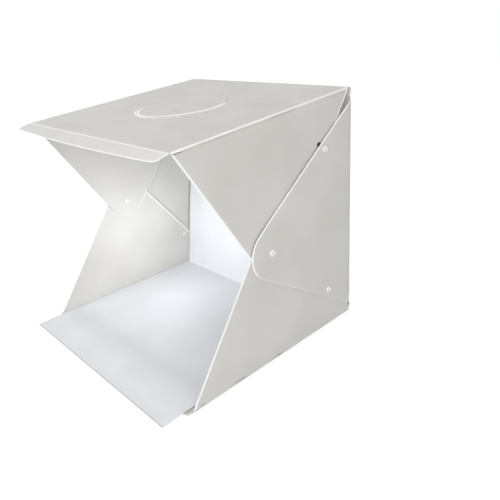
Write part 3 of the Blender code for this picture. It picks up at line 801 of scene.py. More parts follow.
# %% [markdown]
# Each side is closed by three flaps that lie on each other: one hangs from the top, one stands
# on the floor, and the outermost is rolled round from the back. All three are tongues, two
# straight edges that run as tangents to a round tip. Their snap posts pass through small holes.
# A small stop carries on the outermost flap's roll below it, and closes the corner at its foot.

# %% Side flaps
UPPER_TIP = (0.002, 0.020, 0.0472)
LOWER_TIP = (0.0035, -0.008, 0.046)
REAR_TIP_RADIUS = 0.044
POST_HOLE = 0.0016
PASSAGE = 0.0055
GROMMET = (SNAPS["high"][0] - 0.0101, SNAPS["high"][1] + 0.0080)
GROMMET_HOLE = 0.0036


def on_side(side, face, lean):
    """A placer on an upright face with a leaning edge, whose drawing runs back and up."""
    return lambda back, up: Vector((side * (face + lean(back, up)), back, up))


def post_holes(*names):
    """The holes that the posts of some snaps pass."""
    return [circle(SNAPS[name], POST_HOLE, 16) for name in names]


def tip_place(tip):
    """A tip's centre, from its offsets to the middle snap."""
    return SNAPS["middle"][0] + tip[0], SNAPS["middle"][1] + tip[1]


def under_top(back, below):
    """The height of a place below the top's outer face, at a distance behind its front crease."""
    return TOP_CORNER.z + back * math.tan(SLOPE) - below / math.cos(SLOPE)


LOWER_BOW, UPPER_BOW, REAR_CURL = 0.0026, 0.0012, 0.0011
BOW_REACH, CURL_REACH, CURL_END = 0.045, 0.009, 0.12
CURL_LINES = (0.005, 0.008, 0.012, 0.018)
STOP_RIM = (0.0010, 0.0005)
STOP_STEPS = 6
REAR_ROLL = 0.016
ROLL_STEPS = 48
TUCK = 0.0020
# Shares of the painted highlight on the rear flap's cut: the least, and how far up it grows to full.
LEAST_EDGE_HIGHLIGHT, EDGE_HIGHLIGHT_RISE = 0.12, 0.6


def bowed_out(first, last, amount, reach=BOW_REACH, ends=0.5):
    """How far a flap's free edge between two places leans inwards, from memory of its fold."""
    span = math.dist(first, last)
    run = ((last[0] - first[0]) / span, (last[1] - first[1]) / span)

    def lean(a, b):
        """The lean at one place."""
        along = (a - first[0]) * run[0] + (b - first[1]) * run[1]
        aside = (a - first[0]) * run[1] - (b - first[1]) * run[0]
        share = eased(min(along, span - along) / span / ends)
        return -amount * share * math.exp(-((aside / reach) ** 2))

    return lean


roll_start = BACK - REAR_ROLL
roll = [
    (HALF - BEND + BEND * a, roll_start + REAR_ROLL * b)
    for a, b in arc((0, 0), 1, 0, math.pi / 2, ROLL_STEPS)
]
roll_lengths = [0.0]
for p, q in zip(roll, roll[1:]):
    roll_lengths.append(roll_lengths[-1] + math.dist(p, q))
ROLL_LENGTH = roll_lengths[-1]


def on_roll(length):
    """A place on the rear flap's rolled end, at a length from where it leaves the side."""
    i = min(bisect.bisect_left(roll_lengths, length, lo=1), len(roll) - 1)
    share = (length - roll_lengths[i - 1]) / (roll_lengths[i] - roll_lengths[i - 1])
    return [p + (q - p) * share for p, q in zip(roll[i - 1], roll[i])]


for side, word in SIDES:
    last = TOP_LENGTH * math.cos(SLOPE) - GAP
    start = (TOP_FRONT + GAP, under_top(GAP, FOLD))
    end = (TOP_FRONT + last, under_top(last, FOLD))
    outline = tongue(start, end, tip_place(UPPER_TIP), UPPER_TIP[2])
    holes = post_holes("middle", "high")
    if side > 0:
        holes.append(circle(GROMMET, GROMMET_HOLE))

    def upper_marks(a, b, side=side):
        """Its top is bent, paler on the right than on the left. The left flap's cut gets a painted highlight
        only behind the middle of its tip, fading out downwards. The grommet hides its hole.
        """
        if abs(b - under_top(a - TOP_FRONT, FOLD)) < GAP / 3:
            return BENT if side > 0 else FAINT
        if math.dist((a, b), GROMMET) < 2 * GROMMET_HOLE:
            return FAINT
        across, up = tip_place(UPPER_TIP)
        height = max(0.0, min(1.0, (b - up) / UPPER_TIP[2] + 1.0))
        return (1.0 if side > 0 else height * (a > across), 0.0)

    shape = rimmed(outline, holes, upper_marks)
    place = on_side(side, UPPER_FACE, bowed_out(outline[-1], outline[-3], UPPER_BOW))
    made = panel(f"hanging_flap_{word}", shape, place, flip=side < 0)
    fit(made, f"upper_{word}", "panel", f"upper_flap_{word}")

    corner = (BEND_BACK - GAP - TUCK, REAR_FOOT + 3 * TUCK)
    outline = [(BEND_BACK - GAP, FOLD)]
    outline += tongue(corner, (CREASE, FOLD), tip_place(LOWER_TIP), LOWER_TIP[2])
    holes = [circle(SNAPS["middle"], PASSAGE), *post_holes("low")]
    shape = rimmed(outline, holes, else_cut(lambda a, b: b < FOLD + GAP / 3))
    place = on_side(side, LOWER_FACE, bowed_out(SNAPS["low"], outline[3], LOWER_BOW))
    made = panel(f"standing_flap_{word}", shape, place, flip=side < 0)
    fit(made, f"lower_{word}", "panel", f"lower_flap_{word}")

    rear_end = roll_start + ROLL_LENGTH
    outline = tongue(
        (rear_end - WEB, HEIGHT - REAR_DROP), (rear_end - WEB, REAR_FOOT),
        SNAPS["middle"], REAR_TIP_RADIUS,
    )
    touch, run = Vector(outline[2]), (Vector(outline[0]) - Vector(outline[2])).normalized()
    curl_end = touch + run * ((roll_start - touch.x) / run.x)
    lean = bowed_out(touch, curl_end, REAR_CURL, CURL_REACH, CURL_END)

    def on_rear(a, b, side=side, lean=lean):
        """A place on the rear flap, taken round its rolled end by its length along it."""
        out, back = on_roll(a - roll_start) if a > roll_start else (HALF + lean(a, b), a)
        return Vector((side * out, back, b))

    def rear_marks(a, b):
        """Its back is bent. Its cut gets a painted highlight, full above and faint below."""
        if a > rear_end - WEB - GAP / 3:
            return FAINT
        height = (b - SNAPS["middle"][1]) / REAR_TIP_RADIUS + 1.0
        return (max(LEAST_EDGE_HIGHLIGHT, min(1.0, height / EDGE_HIGHLIGHT_RISE)), 0.0)

    shape = rimmed(outline, post_holes(*SNAPS), rear_marks)
    stations = [roll_start + ROLL_LENGTH * i / BEND_STEPS for i in range(BEND_STEPS)]
    cut_across(shape, (1, 0, 0), stations)
    fall = Vector((run.y, -run.x, 0))
    cut_across(shape, fall, [fall.xy.dot(touch) + away for away in CURL_LINES])
    made = panel(f"wrapped_flap_{word}", shape, on_rear, flip=side < 0)
    fit(made, f"rear_{word}", "panel", f"rear_flap_{word}")

    inner_bend = BEND - SHEET - GAP
    outline = arc((BEND_BACK, BEND), inner_bend, -math.pi / 2, 0, BEND_STEPS)
    outline += [(BEND_BACK + inner_bend, REAR_FOOT - GAP), (BEND_BACK, REAR_FOOT - GAP)]
    shape = rimmed(outline, widths=STOP_RIM)
    stations = [BEND_BACK + inner_bend * i / STOP_STEPS for i in range(1, STOP_STEPS)]
    cut_across(shape, (1, 0, 0), stations)

    def on_foot(a, b, side=side):
        """A place on the corner stop, which carries on the rear flap's roll below its foot."""
        turn = math.asin((a - roll_start) / REAR_ROLL)
        return Vector((side * (HALF - BEND + BEND * math.cos(turn)), a, b))

    fit(panel(f"corner_stop_{word}", shape, on_foot, flip=side < 0), "base", "panel")

# %% [markdown]
# Now the creases themselves. The webs of the side flaps turn a corner, with a radius of about two
# millimetres, and those of the lip, the back and the hatch lie nearly flat.

# %% Crease webs
BEAD = 0.00012

# Each web is painted pale by side. This is the pale of a bent crease, with a painted highlight on creases
# that face the light, such as the top's right one.
for side, word in SIDES:
    across = ACROSS * side
    corner = across * (UPPER_FACE - FOLD) - UPWARD * FOLD
    section = quarter(corner, across, UPWARD, FOLD)
    web(
        f"crease_upper_{word}", section, on_top(0, GAP), on_top(0, TOP_LENGTH - GAP),
        across + UPWARD, ("top", f"upper_{word}"), 1.0 if side > 0 else FAINT[1],
    )
    corner = across * (LOWER_FACE - FOLD) + Vector((0, 0, FOLD))
    section = quarter(corner, across, Vector((0, 0, -1)), FOLD)
    web(
        f"crease_lower_{word}", section, Vector((0, CREASE, 0)), Vector((0, BEND_BACK - GAP, 0)),
        across - Vector((0, 0, 1)), ("base", f"lower_{word}"), FAINT[1] if side > 0 else BENT[1],
    )
    flat = [HALF - BEND - WEB, HALF - BEND - WEB / 2, HALF - BEND]
    section = [Vector((side * out, BACK, 0)) for out in flat]
    places = [on_roll(ROLL_LENGTH - WEB * i / 3) for i in (1, 2, 3)]
    section += [Vector((side * out, back, 0)) for out, back in places]
    web(
        f"crease_rear_{word}", section,
        Vector((0, 0, REAR_FOOT)), Vector((0, 0, HEIGHT - REAR_DROP)), Vector((0, 1, 0)),
        ("base", f"rear_{word}"), FAINT[1],
    )

section = [ALONG * WEB, ALONG * WEB / 2 + UPWARD * BEAD, UPWARD * BEAD]
lip_start = LIP_AXIS + ABOVE * SHEET - TOP_CORNER
section += [lip_start + AHEAD * WEB / 2 + ABOVE * BEAD / 2, lip_start + AHEAD * WEB]
edge_across = ACROSS * (UPPER_FACE - FOLD)
web(
    "crease_lip", section, TOP_CORNER - edge_across, TOP_CORNER + edge_across, UPWARD,
    ("top", "lip"), 2 * FAINT[1],
)

section = [on_top(0, TOP_LENGTH - WEB), on_top(0, TOP_LENGTH - WEB / 2), on_top(0, TOP_LENGTH)]
for i in (1, 2, 3):
    back, up = back_line(total - WEB * i / 3)
    section.append(Vector((0, back, up)))
web("crease_top", section, -edge_across, edge_across, UPWARD, ("top", "base"), FAINT[1])

section = [
    on_top(0, HATCH_HINGE + WEB), on_top(0, HATCH_HINGE, BEAD), on_hatch(0, HATCH_HINGE - WEB),
]
half_chord = ACROSS * HATCH_RADIUS * math.sin(HATCH_CHORD)
web("crease_hatch", section, -half_chord, half_chord, UPWARD, ("top", "hatch"), FAINT[1])

# %% [markdown]
# A snap fastener comes in three pieces: a cap with a post outside, a socket ring under it, and a
# stud on the flap beneath. They are the same three shapes eighteen times over, so each shape
# is turned once, and Geometry Nodes repeats it at the snaps' places. The result becomes a plain
# mesh for each body.

# %% Snap fasteners
CAP = [
    (0, 1.5), (1, 1.5), (1.3, 1.75), (2.4, 1.9), (3, 2.35), (3.5, 2.75), (4, 2.85), (4.6, 2.65),
    (5.2, 2.15), (5.6, 1.5), (5.8, 0.7), (5.8, 0), (1.3, 0), (1.3, -1.1), (0, -1.1),
]
SOCKET = [
    (2.4, -0.3), (2.6, 0), (4, 0), (4.2, -0.2), (4.2, -0.7), (4, -0.9), (2.6, -0.9), (2.4, -0.6),
]
STUD = [
    (0, 0.7), (1.1, 0.7), (1.4, 0.9), (2.4, 0.9), (2.9, 1.2), (3.4, 1.4), (4, 1.3), (4.5, 1),
    (4.9, 0.5), (5, 0.2), (5, 0), (1.3, 0), (1.3, -0.8), (0, -0.8),
]
MM = 0.001


def turned(name, profile, material, steps=32, unit=MM):
    """A round form turned from radii and heights. A profile that leaves the axis is a ring."""
    ring = profile[0][0] > 0
    shape = bmesh.new()
    corners = [shape.verts.new((radius * unit, 0, height * unit)) for radius, height in profile]
    following = corners[1:] + corners[:1] if ring else corners[1:]
    edges = [shape.edges.new(pair) for pair in zip(corners, following)]
    bmesh.ops.spin(
        shape, geom=corners + edges, cent=(0, 0, 0), axis=(0, 0, 1), angle=math.tau, steps=steps
    )
    bmesh.ops.remove_doubles(shape, verts=shape.verts[:], dist=MERGE)
    closed_up(shape)
    piece = link(name, shape, material)
    piece.data.set_sharp_from_angle(angle=EDGE_ANGLE)
    return piece


def make_repeat_tree():
    """A node tree that sets a form down at every point of a mesh, turned loosely by chance."""
    tree = bpy.data.node_groups.new("repeat a form at places", "GeometryNodeTree")
    kinds = {
        "Places": "Geometry", "Form": "Object", "Turn": "Vector", "Loose turn": "Float",
        "Size": "Vector", "Finish": "Material",
    }
    for name, kind in kinds.items():
        tree.interface.new_socket(name, in_out="INPUT", socket_type="NodeSocket" + kind)
    tree.interface.new_socket("Pieces", in_out="OUTPUT", socket_type="NodeSocketGeometry")
    given = put(tree, "NodeGroupInput").outputs
    form = put(tree, "GeometryNodeObjectInfo", {"Object": given["Form"]}).outputs["Geometry"]
    back = put(tree, "ShaderNodeMath", {0: given["Loose turn"], 1: -1.0}, operation="MULTIPLY")
    chance = put(
        tree, "FunctionNodeRandomValue", {2: back, 3: given["Loose turn"], "Seed": 7},
        data_type="FLOAT",
    )
    loose = put(tree, "ShaderNodeCombineXYZ", {"Z": chance.outputs[1]})
    turn = put(tree, "ShaderNodeVectorMath", {0: given["Turn"], 1: loose})
    spin = put(tree, "FunctionNodeEulerToRotation", {0: turn})
    spots = put(
        tree, "GeometryNodeInstanceOnPoints",
        {"Points": given["Places"], "Instance": form, "Rotation": spin, "Scale": given["Size"]},
    )
    real = put(tree, "GeometryNodeRealizeInstances", {0: spots})
    finish = {"Geometry": real, "Material": given["Finish"]}
    put(tree, "NodeGroupOutput", {0: put(tree, "GeometryNodeSetMaterial", finish)})
    return tree


repeat_tree = make_repeat_tree()
KNOWN = {
    item.name: item.identifier
    for item in repeat_tree.interface.items_tree if item.in_out == "INPUT"
}


def grown(name, points, form, size, finish, turn=(0, 0, 0), loose=0.0):
    """Repeat a form at some points, and keep what comes out as a plain mesh."""
    mesh = bpy.data.meshes.new(name)
    mesh.from_pydata(points, [], [])
    piece = placed(name, mesh)
    nodes = piece.modifiers.new("nodes", "NODES")
    nodes.node_group = repeat_tree
    values = {"Form": form, "Turn": turn, "Loose turn": loose, "Size": size, "Finish": finish}
    for key, value in values.items():
        nodes[KNOWN[key]] = value
    return settle(piece)


cap_form = turned("cap form", CAP, snap_plastic)
socket_form = turned("socket form", SOCKET, snap_plastic)
stud_form = turned("stud form", STUD, snap_plastic)
ONE, FLUSH = (1.0, 1.0, 1.0), (1.0, 1.0, 0.3)
INNER, UPPER_IN, LOWER_IN = (face - SHEET for face in (HALF, UPPER_FACE, LOWER_FACE))
for side, word in SIDES:
    for label, form, face, turn, size, names, body, node in (
        ("snap_caps", cap_form, HALF, side, ONE, tuple(SNAPS), "rear", "snap_cap"),
        ("snap_sockets", socket_form, INNER, side, ONE, tuple(SNAPS), "rear", "snap_socket"),
        ("snap_studs", stud_form, UPPER_IN, -side, ONE, ("middle", "high"), "upper", "snap_stud"),
        ("snap_stud_low", stud_form, LOWER_IN, -side, FLUSH, ("low",), "lower", "snap_stud"),
    ):
        made = grown(
            f"{label}_of_{word}", [(side * face, *SNAPS[name]) for name in names],
            form, size, snap_plastic, turn=(0, turn * math.pi / 2, 0),
        )
        fit(made, f"{body}_{word}", "snap", *[f"{node}_{name}_{word}" for name in names])
forget(cap_form, socket_form, stud_form)

# %% [markdown]
# The grommet is a soft ring with a round flange on each face of the flap. A thin skin closes its
# middle until a lead is pushed through. It is turned from its profile, and then stood on the
# right upper flap.

# %% Grommet
GROMMET_DRAWN = 0.0041
GROMMET_RING = [
    (0, 0.1), (2, 0.1), (2.6, 0.3), (2.9, 0.7), (3.2, 1), (3.8, 1.1), (4.2, 0.9), (4.4, 0.5),
    (4.3, 0), (3.8, 0), (3.8, -0.8), (4.3, -0.8), (4.4, -1.3), (4.2, -1.7), (3.8, -1.9),
    (3.2, -1.8), (2.9, -1.5), (2.6, -1.1), (2, -0.9), (0, -0.9),
]


def set_down(piece, matrix):
    """Move a piece's mesh into place, with its object left at the origin."""
    piece.data.transform(matrix)
    piece.data.update()
    return piece


ring = turned("lead_grommet", GROMMET_RING, grommet_rubber)
to_right = Matrix.Rotation(math.pi / 2, 4, "Y")
slim = GROMMET_HOLE / GROMMET_DRAWN
slimmer = Matrix.Diagonal((slim, slim, 1.0, 1.0))
set_down(ring, Matrix.Translation((UPPER_FACE, *GROMMET)) @ to_right @ slimmer)
fit(ring, "upper_right", "grommet", "cable_grommet")

# %% [markdown]
# The backdrop hangs nearly straight from the back and turns tightly forward over the floor, which it crosses
# to lie on the table ahead of the ledge. A sheet that has been folded away keeps a soft wave, and this one
# has it just behind the ledge. Behind the wave's crest a faint grey band is painted shade, and the same
# value paints the front edge grey, as painted shade under that edge.

# %% Backdrop
VINYL = 0.0006
BACKDROP_HALF = HALF - 0.0077
BACKDROP_SHIFT = -0.0040
BACKDROP_TOP = HEIGHT - 0.066
BACKDROP_FLAT = 0.019
SWEEP = 0.062
LEAN = 0.84
# The strength of the painted shade along the wave.
FOLD_PAINTED_SHADE = 0.15
FOLD_SLANT = 0.06
PAD_LAYER = 0.0012
SWEEP_STEPS = 44
FLOOR_STEP = 0.006
WAVE_CREST, WAVE_FRONT, WAVE_BACK = -0.174, -0.206, -0.118
WAVE_RISE = 0.0014
FOLD_SHADE = (-0.172, -0.134, -0.098)
HANG_RIPPLE = 0.0007
HANG_REACH = (0.02, 0.18, 0.33)
HANG_TURNS, HANG_SHIFT = 14.0, 0.4
CREST_SLANT = 0.02
CREST_MEAN, CREST_SWING, CREST_TURNS, CREST_SHIFT = 0.85, 0.3, 9.0, 0.6
HALF_COLUMNS = 26


def backdrop_line():
    """The backdrop's rear face from its top to its front edge, as distances back and up."""
    floor = SHEET + SEAT
    wall = BACK - SHEET - 3 * SEAT - 2 * PAD_LAYER
    turn = wall - SWEEP * LEAN
    leave = BACKDROP_TOP - BACKDROP_FLAT
    controls = [
        (wall, leave), (turn, floor + (leave - floor) / 2), (turn, floor), (wall - SWEEP, floor),
    ]
    line = [(wall, BACKDROP_TOP - BACKDROP_FLAT * i / 4) for i in range(4)]
    for i in range(SWEEP_STEPS + 1):
        t = i / SWEEP_STEPS
        weights = ((1 - t) ** 3, 3 * t * (1 - t) ** 2, 3 * t**2 * (1 - t), t**3)
        line.append(tuple(sum(w * c[k] for w, c in zip(weights, controls)) for k in (0, 1)))
    back = line[-1][0]
    count = math.ceil((back - FRONT) / FLOOR_STEP)
    line += [(back + (FRONT - back) * i / count, floor) for i in range(1, count + 1)]
    return line


def hump(value, low, middle, high):
    """A smooth hump that is 1 in the middle and 0 outside its two ends."""
    end = low if value < middle else high
    return eased((value - end) / (middle - end))


def backdrop_place(across, back, up):
    """Where a point of the sheet lies once its soft waves are added."""
    lean = WAVE_CREST - CREST_SLANT * across
    rise = WAVE_RISE * (CREST_MEAN + CREST_SWING * math.sin(CREST_TURNS * across + CREST_SHIFT))
    wave = rise * hump(back, WAVE_FRONT, lean, WAVE_BACK)
    ripple = HANG_RIPPLE * math.sin(HANG_TURNS * across + HANG_SHIFT) * hump(up, *HANG_REACH)
    return Vector((across + BACKDROP_SHIFT, back - abs(ripple), up + wave))


line = backdrop_line()
columns = [BACKDROP_HALF * (i / HALF_COLUMNS - 1) for i in range(2 * HALF_COLUMNS + 1)]
columns[1:1] = [-BACKDROP_HALF + RIM]
columns[-1:-1] = [BACKDROP_HALF - RIM]
line[1:1] = [(line[0][0], line[0][1] - RIM)]
line[-1:-1] = [(line[-1][0] + RIM, line[-1][1])]
shape = bmesh.new()
edge = shape.verts.layers.float.new("edge")
grid = [[shape.verts.new(backdrop_place(a, *spot)) for a in columns] for spot in line]
# Painted shade: a faint grey band along the wave, and grey along the front edge.
for row, (back, up) in zip(grid, line):
    for corner in row if up < SHEET + 2 * SEAT else ():
        corner[edge] = FOLD_PAINTED_SHADE * hump(back - FOLD_SLANT * corner.co.x, *FOLD_SHADE)
for corner in grid[-1]:
    corner[edge] = 1.0
lofted(shape, grid, Vector((0, -1, 0)))
area = sum(face.calc_area() for face in shape.faces)
backdrop = thicken(link("backdrop", shape, backdrop_vinyl), VINYL, offset=1, bevel=BEVEL / 2)
fit(backdrop, "backdrop", "backdrop", "backdrop_sheet")

# %% [markdown]
# The backdrop and the light bar are held by hook and loop pads. A pad is a woven tape with rows of
# tiny hooks or loops on its face. They are far too many to place by hand. A function gives the
# places of a field of rows, and the node tree of the fasteners repeats one form there, each
# turned a little by chance. The pitch is coarser than the real one, so that it shows.

# %% Hook and loop pads
HOOK_PITCH = 0.0017
HOOK_FILL = 0.8
TAPE = 0.0005


def field(columns, rows, pitch):
    """The places of a field of columns and rows round its middle."""
    return [
        (pitch * (i - (columns - 1) / 2), pitch * (j - (rows - 1) / 2), 0)
        for i in range(columns) for j in range(rows)
    ]


def block(name, low, high, material, bevel):
    """A block with rounded edges between two corners."""
    shape = bmesh.new()
    bmesh.ops.create_cube(shape, size=1.0)
    for corner in shape.verts:
        corner.co = [(l + h) / 2 + c * (h - l) for c, l, h in zip(corner.co, low, high)]
    piece = link(name, shape, material)
    soften(piece, bevel)
    return settle(piece)


def joined(name, pieces):
    """Several plain meshes as one piece."""
    shape = bmesh.new()
    materials = []
    for piece in pieces:
        first = len(shape.faces)
        shape.from_mesh(piece.data)
        shape.faces.ensure_lookup_table()
        own = list(piece.data.materials)
        materials += [material for material in own if material not in materials]
        for face in shape.faces[first:]:
            face.material_index = materials.index(own[face.material_index])
    made = link(name, shape, materials[0])
    for material in materials[1:]:
        made.data.materials.append(material)
    made.data.set_sharp_from_angle(angle=EDGE_ANGLE)
    forget(*pieces)
    return made


HOOK = [(0, 1), (0.30, 0.96), (0.42, 0.84), (0.36, 0.74), (0.16, 0.70), (0.14, 0), (0, 0)]
hook_form = turned("hook form", HOOK, nylon_pile, steps=6, unit=1.0)
LOOP_POINTS, LOOP_SIDES, LOOP_WIRE = 7, 3, 0.09
LOOP_REACH, LOOP_RISE = 0.45, 0.9
shape = bmesh.new()
rings = []
for i in range(LOOP_POINTS + 1):
    out = Vector((math.cos(math.pi * i / LOOP_POINTS), 0, math.sin(math.pi * i / LOOP_POINTS)))
    middle = Vector((LOOP_REACH * out.x, 0, LOOP_RISE * out.z))
    turns = [math.tau * k / LOOP_SIDES for k in range(LOOP_SIDES)]
    offsets = [out * math.cos(turn) + Vector((0, math.sin(turn), 0)) for turn in turns]
    rings.append([shape.verts.new(middle + offset * LOOP_WIRE) for offset in offsets])
lofted(shape, rings, Vector((1, 0, 0)), closed=True)
shape.faces.new(rings[0][::-1])
shape.faces.new(rings[-1])
closed_up(shape)
loop_form = link("loop form", shape, nylon_pile)

ON_TOP = Matrix((*zip(ACROSS, ALONG, UPWARD, TOP_CORNER), (0, 0, 0, 1)))


def pad(name, form, size, matrix):
    """A tape of a size with a field of hooks or loops on it, its face along the matrix's Z."""
    wide, tall, deep = size
    tape = block("tape", (-wide / 2, -tall / 2, 0), (wide / 2, tall / 2, TAPE), nylon_pile, BEVEL)
    pile = grown(
        "pile", field(int(wide / HOOK_PITCH), int(tall / HOOK_PITCH), HOOK_PITCH), form,
        (HOOK_PITCH * HOOK_FILL, HOOK_PITCH * HOOK_FILL, deep - TAPE), nylon_pile, loose=math.pi,
    )
    set_down(pile, Matrix.Translation((0, 0, TAPE)))
    return set_down(joined(name, [tape, pile]), matrix)


for side, word in SIDES:
    for label, form, body, node, turn in (
        ("wall_hooks", hook_form, "base", "backdrop_hook_pad", 1),
        ("backdrop_loops", loop_form, "backdrop", "backdrop_loop_pad", -1),
    ):
        low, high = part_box(f"{node}_{word}")
        foot = Vector(((low.x + high.x) / 2, high.y if turn > 0 else low.y, (low.z + high.z) / 2))
        face = Matrix.Rotation(turn * math.pi / 2, 4, "X")
        size = (high.x - low.x, high.z - low.z, high.y - low.y)
        made = pad(f"{label}_{word}", form, size, Matrix.Translation(foot) @ face)
        fit(made, body, "hook_and_loop", f"{node}_{word}")

# %% [markdown]
# The light bar hangs under the front of the top. Its parts are drawn in the top's own directions,
# across, along and above, and one matrix then sets them all down under the sloping top.

# %% Light bar
BAR_HALF = HALF - 0.076
BAR_WIDTH, BAR_DROP, BAR_WALL = 0.014, 0.0085, 0.0010
BAR_BACK = 0.0215
BAR_END = 0.0040
COVER_WALL = 0.0012
BOARD_WALL = 0.0012
BOARD_MARGIN = 0.0010
BAR_ROUND, COVER_ROUND, END_ROUND, INLET_ROUND = 0.00012, 0.0001, 0.0007, 0.0004
FRAME_ROUND, LENS_ROUND = 0.06, 0.2
CHIPS = 22
CHIP = (0.0035, 0.0028, 0.0008)
LENS = (0.0026, 0.0020, 0.00085)
PAD_LENGTH = 0.030
PAD_SHARE = 0.355

bar_top = -SHEET - 2 * PAD_LAYER - 3 * SEAT
bar_low = bar_top - BAR_DROP
near, far = BAR_BACK - BAR_WIDTH / 2, BAR_BACK + BAR_WIDTH / 2
pad_size = (PAD_LENGTH, BAR_WIDTH - 2 * BAR_WALL, PAD_LAYER)
for side, word in SIDES:
    for label, form, node, height, turn in (
        ("roof_hooks", hook_form, "lamp_hook_pad", -SHEET, math.pi),
        ("bar_loops", loop_form, "lamp_loop_pad", bar_top, 0.0),
    ):
        foot = Matrix.Translation((side * 2 * BAR_HALF * PAD_SHARE, BAR_BACK, height))
        face = Matrix.Rotation(turn, 4, "X")
        made = pad(f"{label}_{word}", form, pad_size, ON_TOP @ foot @ face)
        fit(made, "top", "hook_and_loop", f"{node}_{word}")
forget(hook_form, loop_form)


def extruded(name, outline, start, end, material, bevel, holes=()):
    """A cross-section, given along and above, drawn out across to a bar."""
    shape = filled(outline, holes)
    for corner in shape.verts:
        corner.co = Vector((start, corner.co.x, corner.co.y))
    made = bmesh.ops.extrude_face_region(shape, geom=shape.faces[:])
    for item in made["geom"]:
        if isinstance(item, bmesh.types.BMVert):
            item.co.x = end
    closed_up(shape)
    piece = link(name, shape, material)
    soften(piece, bevel)
    return set_down(settle(piece), ON_TOP)


GROOVE, GROOVE_SHARE, GROOVES = 0.00035, 0.04, (0.56, 0.34)
near_side = [(near, bar_top)]
for middle in GROOVES:
    for deep, share in ((0, GROOVE_SHARE), (GROOVE, 0), (0, -GROOVE_SHARE)):
        near_side.append((near + deep, bar_low + BAR_DROP * (middle + share)))
near_side.append((near, bar_low))
far_side = [(2 * BAR_BACK - a, b) for a, b in reversed(near_side)]
roof = bar_top - BAR_WALL
inside = [
    (near + BAR_WALL, bar_low), (near + BAR_WALL, roof),
    (far - BAR_WALL, roof), (far - BAR_WALL, bar_low),
]
channel = near_side + inside + far_side
made = extruded("bar_channel", channel, -BAR_HALF, BAR_HALF, bar_aluminium, BAR_ROUND)
fit(made, "top", "bar_alloy", "lamp_channel")

DOME, DOME_STEPS = 0.0003, 12
near_edge, wide = near + BAR_WALL + SEAT, BAR_WIDTH - 2 * (BAR_WALL + SEAT)
dome = [(near_edge, bar_low + COVER_WALL)]
for i in range(DOME_STEPS + 1):
    share = i / DOME_STEPS
    dome.append((near_edge + wide * share, bar_low + DOME * (1 - math.sin(math.pi * share))))
dome.append((near_edge + wide, bar_low + COVER_WALL))
made = extruded("bar_cover", dome, -BAR_HALF, BAR_HALF, frosted_cover, COVER_ROUND)
fit(made, "top", "frosted_cover", "lamp_diffuser")

face = roof - SEAT - BOARD_WALL
inset = BAR_WALL + BOARD_MARGIN
reach = BAR_HALF - BOARD_MARGIN
foot, head = (-reach, near + inset, face), (reach, far - inset, face + BOARD_WALL)
plate = block("plate", foot, head, board_coat, COVER_ROUND)
frame_form = block("frame form", (-0.5, -0.5, 0), (0.5, 0.5, 1), chip_frame, FRAME_ROUND)
lens_form = block("lens form", (-0.5, -0.5, 0), (0.5, 0.5, 1), phosphor, LENS_ROUND)
pitch = 2 * reach / CHIPS
places = field(CHIPS, 1, pitch)
chips = []
for name, form, size, finish in (
    ("frames", frame_form, CHIP, chip_frame), ("lenses", lens_form, LENS, phosphor),
):
    row = grown(name, places, form, (size[0], size[1], -size[2]), finish)
    set_down(row, Matrix.Translation((0, BAR_BACK, face)))
    row.data.flip_normals()
    chips.append(row)
forget(frame_form, lens_form)
fit(set_down(joined("bar_board", [plate, *chips]), ON_TOP), "top", "light_board", "lamp_board")

square = box_outline(near, far, bar_low, bar_top)
start, stop = BAR_HALF + SEAT, BAR_HALF + SEAT + BAR_END
INLET_HOLE = 0.0031
centre = (BAR_BACK, (bar_low + bar_top) / 2)
made = extruded("bar_end_left", square, -stop, -start, end_plastic, END_ROUND)
fit(made, "top", "bar_end", "lamp_end_left")
hole = circle(centre, INLET_HOLE)
made = extruded("bar_end_right", square, start, stop, end_plastic, INLET_ROUND, [hole])
fit(made, "top", "bar_end", "lamp_end_right")

BARREL = [(1.8, -3), (2.8, -3), (2.8, 0), (2.7, 0.2), (2, 0.2), (1.8, 0)]
PIN = [(0, -0.4), (0.3, -0.5), (0.5, -0.8), (0.5, -2.9), (0, -2.9)]
barrel = turned("barrel", BARREL, end_plastic)
pin = turned("pin", PIN, plated_pin, steps=16)
socket_back = turned("socket back", [(0, -2.6), (1.9, -2.6), (1.9, -3), (0, -3)], end_plastic)
inlet = joined("bar_inlet", [barrel, pin, socket_back])
set_down(inlet, ON_TOP @ Matrix.Translation((stop, *centre)) @ to_right)
fit(inlet, "top", "bar_end", "lamp_inlet")

# %% [markdown]
# The stage is plain: a pale floor that fades into white, and a soft studio light from large
# panels in front, to the right and above. A small soft glow inside stands for the light that the
# white walls throw on each other, and a white world fills the rest, so that the colours show
# nearly as they are written. The camera sees the floor and the world as white, and the floor
# keeps a soft shadow.

# %% Floor, lights and camera
scene = bpy.context.scene
scene.view_settings.view_transform = "Standard"

WORLD_FILL = 0.52
FLOOR_GLOW = 0.72
FLOOR_HALF, FLOOR_GAP = 6.0, 0.0004
GLOW_PLACE = (-0.08, 0.015, 0.14)
GLOW_POWER = 0.50
GLOW_RADIUS = 0.08
GLOW_TINT = (0.95, 0.975, 1.0)


def white_to_eye(tree, unseen, seen):
    """A strength for the rays of the camera, of reflections and of glass, and one for the rest."""
    rays = put(tree, "ShaderNodeLightPath").outputs
    either = rays["Is Camera Ray"]
    for other in ("Is Glossy Ray", "Is Transmission Ray"):
        either = put(tree, "ShaderNodeMath", {0: either, 1: rays[other]}, operation="MAXIMUM")
    strengths = {"Value": either, "To Min": unseen, "To Max": seen}
    return put(tree, "ShaderNodeMapRange", strengths)


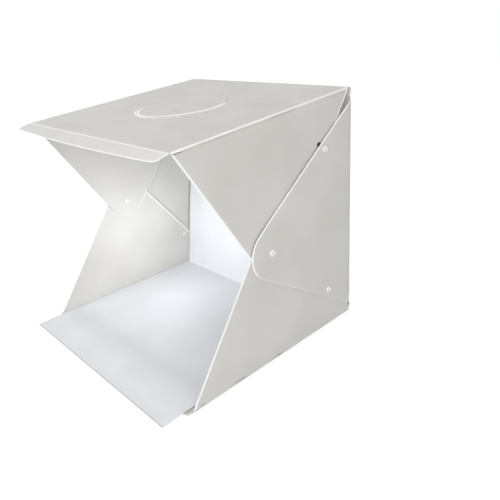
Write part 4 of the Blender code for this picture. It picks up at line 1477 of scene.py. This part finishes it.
shape = bmesh.new()
bmesh.ops.create_grid(shape, x_segments=1, y_segments=1, size=FLOOR_HALF)
floor_paper, tree, shader, place = start_material("paper, white", "#BEBEBE", 0.9)
glowing = white_to_eye(tree, 0.0, FLOOR_GLOW)
feed(tree, shader, {"Emission Color": (1, 1, 1, 1), "Emission Strength": glowing})
ground = link("floor", shape, floor_paper)
ground.location.z = -FLOOR_GAP
ground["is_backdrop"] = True

world = bpy.data.worlds.new("studio")
world.use_nodes = True
scene.world = world
tree = world.node_tree
sky = {"Color": (1, 1, 1, 1), "Strength": white_to_eye(tree, WORLD_FILL, 1.0)}
feed(tree, tree.nodes["Background"], sky)


def lamp(name, kind, place, power):
    """A light of a kind at a place."""
    light = bpy.data.lights.new(name, kind)
    light.energy = power
    made = bpy.data.objects.new(name, light)
    made.location = place
    scene.collection.objects.link(made)
    return made


PANEL_SIZE = 1.2
for name, place, height, power in (
    ("front panel", (0.9, -2.2, 0.5), 0.2, 22),
    ("right panel", (2.3, -0.9, 0.35), 0.2, 24),
    ("top panel", (-0.2, -0.8, 2.3), 0.3, 15),
):
    lit = lamp(name, "AREA", place, power)
    lit.data.size = PANEL_SIZE
    aim = Vector((0, 0, height)) - lit.location
    lit.rotation_euler = aim.to_track_quat("-Z", "Y").to_euler()
glow = lamp("inside glow", "POINT", GLOW_PLACE, GLOW_POWER)
glow.data.color = GLOW_TINT
glow.data.shadow_soft_size = GLOW_RADIUS
glow.visible_camera = False

CAMERA_PLACE = (0.7212, -0.5225, 0.5222)
AZIMUTH, ELEVATION, ROLL = (math.radians(v) for v in (46.39, 17.96, -3.02))
FOCAL_PIXELS = 522.1
PHOTO = 500
CENTRE_ROW = 196.4
SENSOR = 36.0
camera = bpy.data.cameras.new("photo view")
camera.sensor_width = SENSOR
camera.lens = FOCAL_PIXELS / PHOTO * SENSOR
camera.shift_y = (CENTRE_ROW - PHOTO / 2) / PHOTO
view = bpy.data.objects.new("photo view", camera)
view.matrix_world = (
    Matrix.Translation(CAMERA_PLACE) @ Matrix.Rotation(AZIMUTH, 4, "Z")
    @ Matrix.Rotation(math.pi / 2 - ELEVATION, 4, "X") @ Matrix.Rotation(ROLL, 4, "Z")
)
scene.collection.objects.link(view)
scene.camera = view
print("lens", round(camera.lens, 2), "mm")

# %% Sizes of the dressed model
low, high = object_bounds()
print("dressed model from", [round(v, 4) for v in low], "to", [round(v, 4) for v in high])
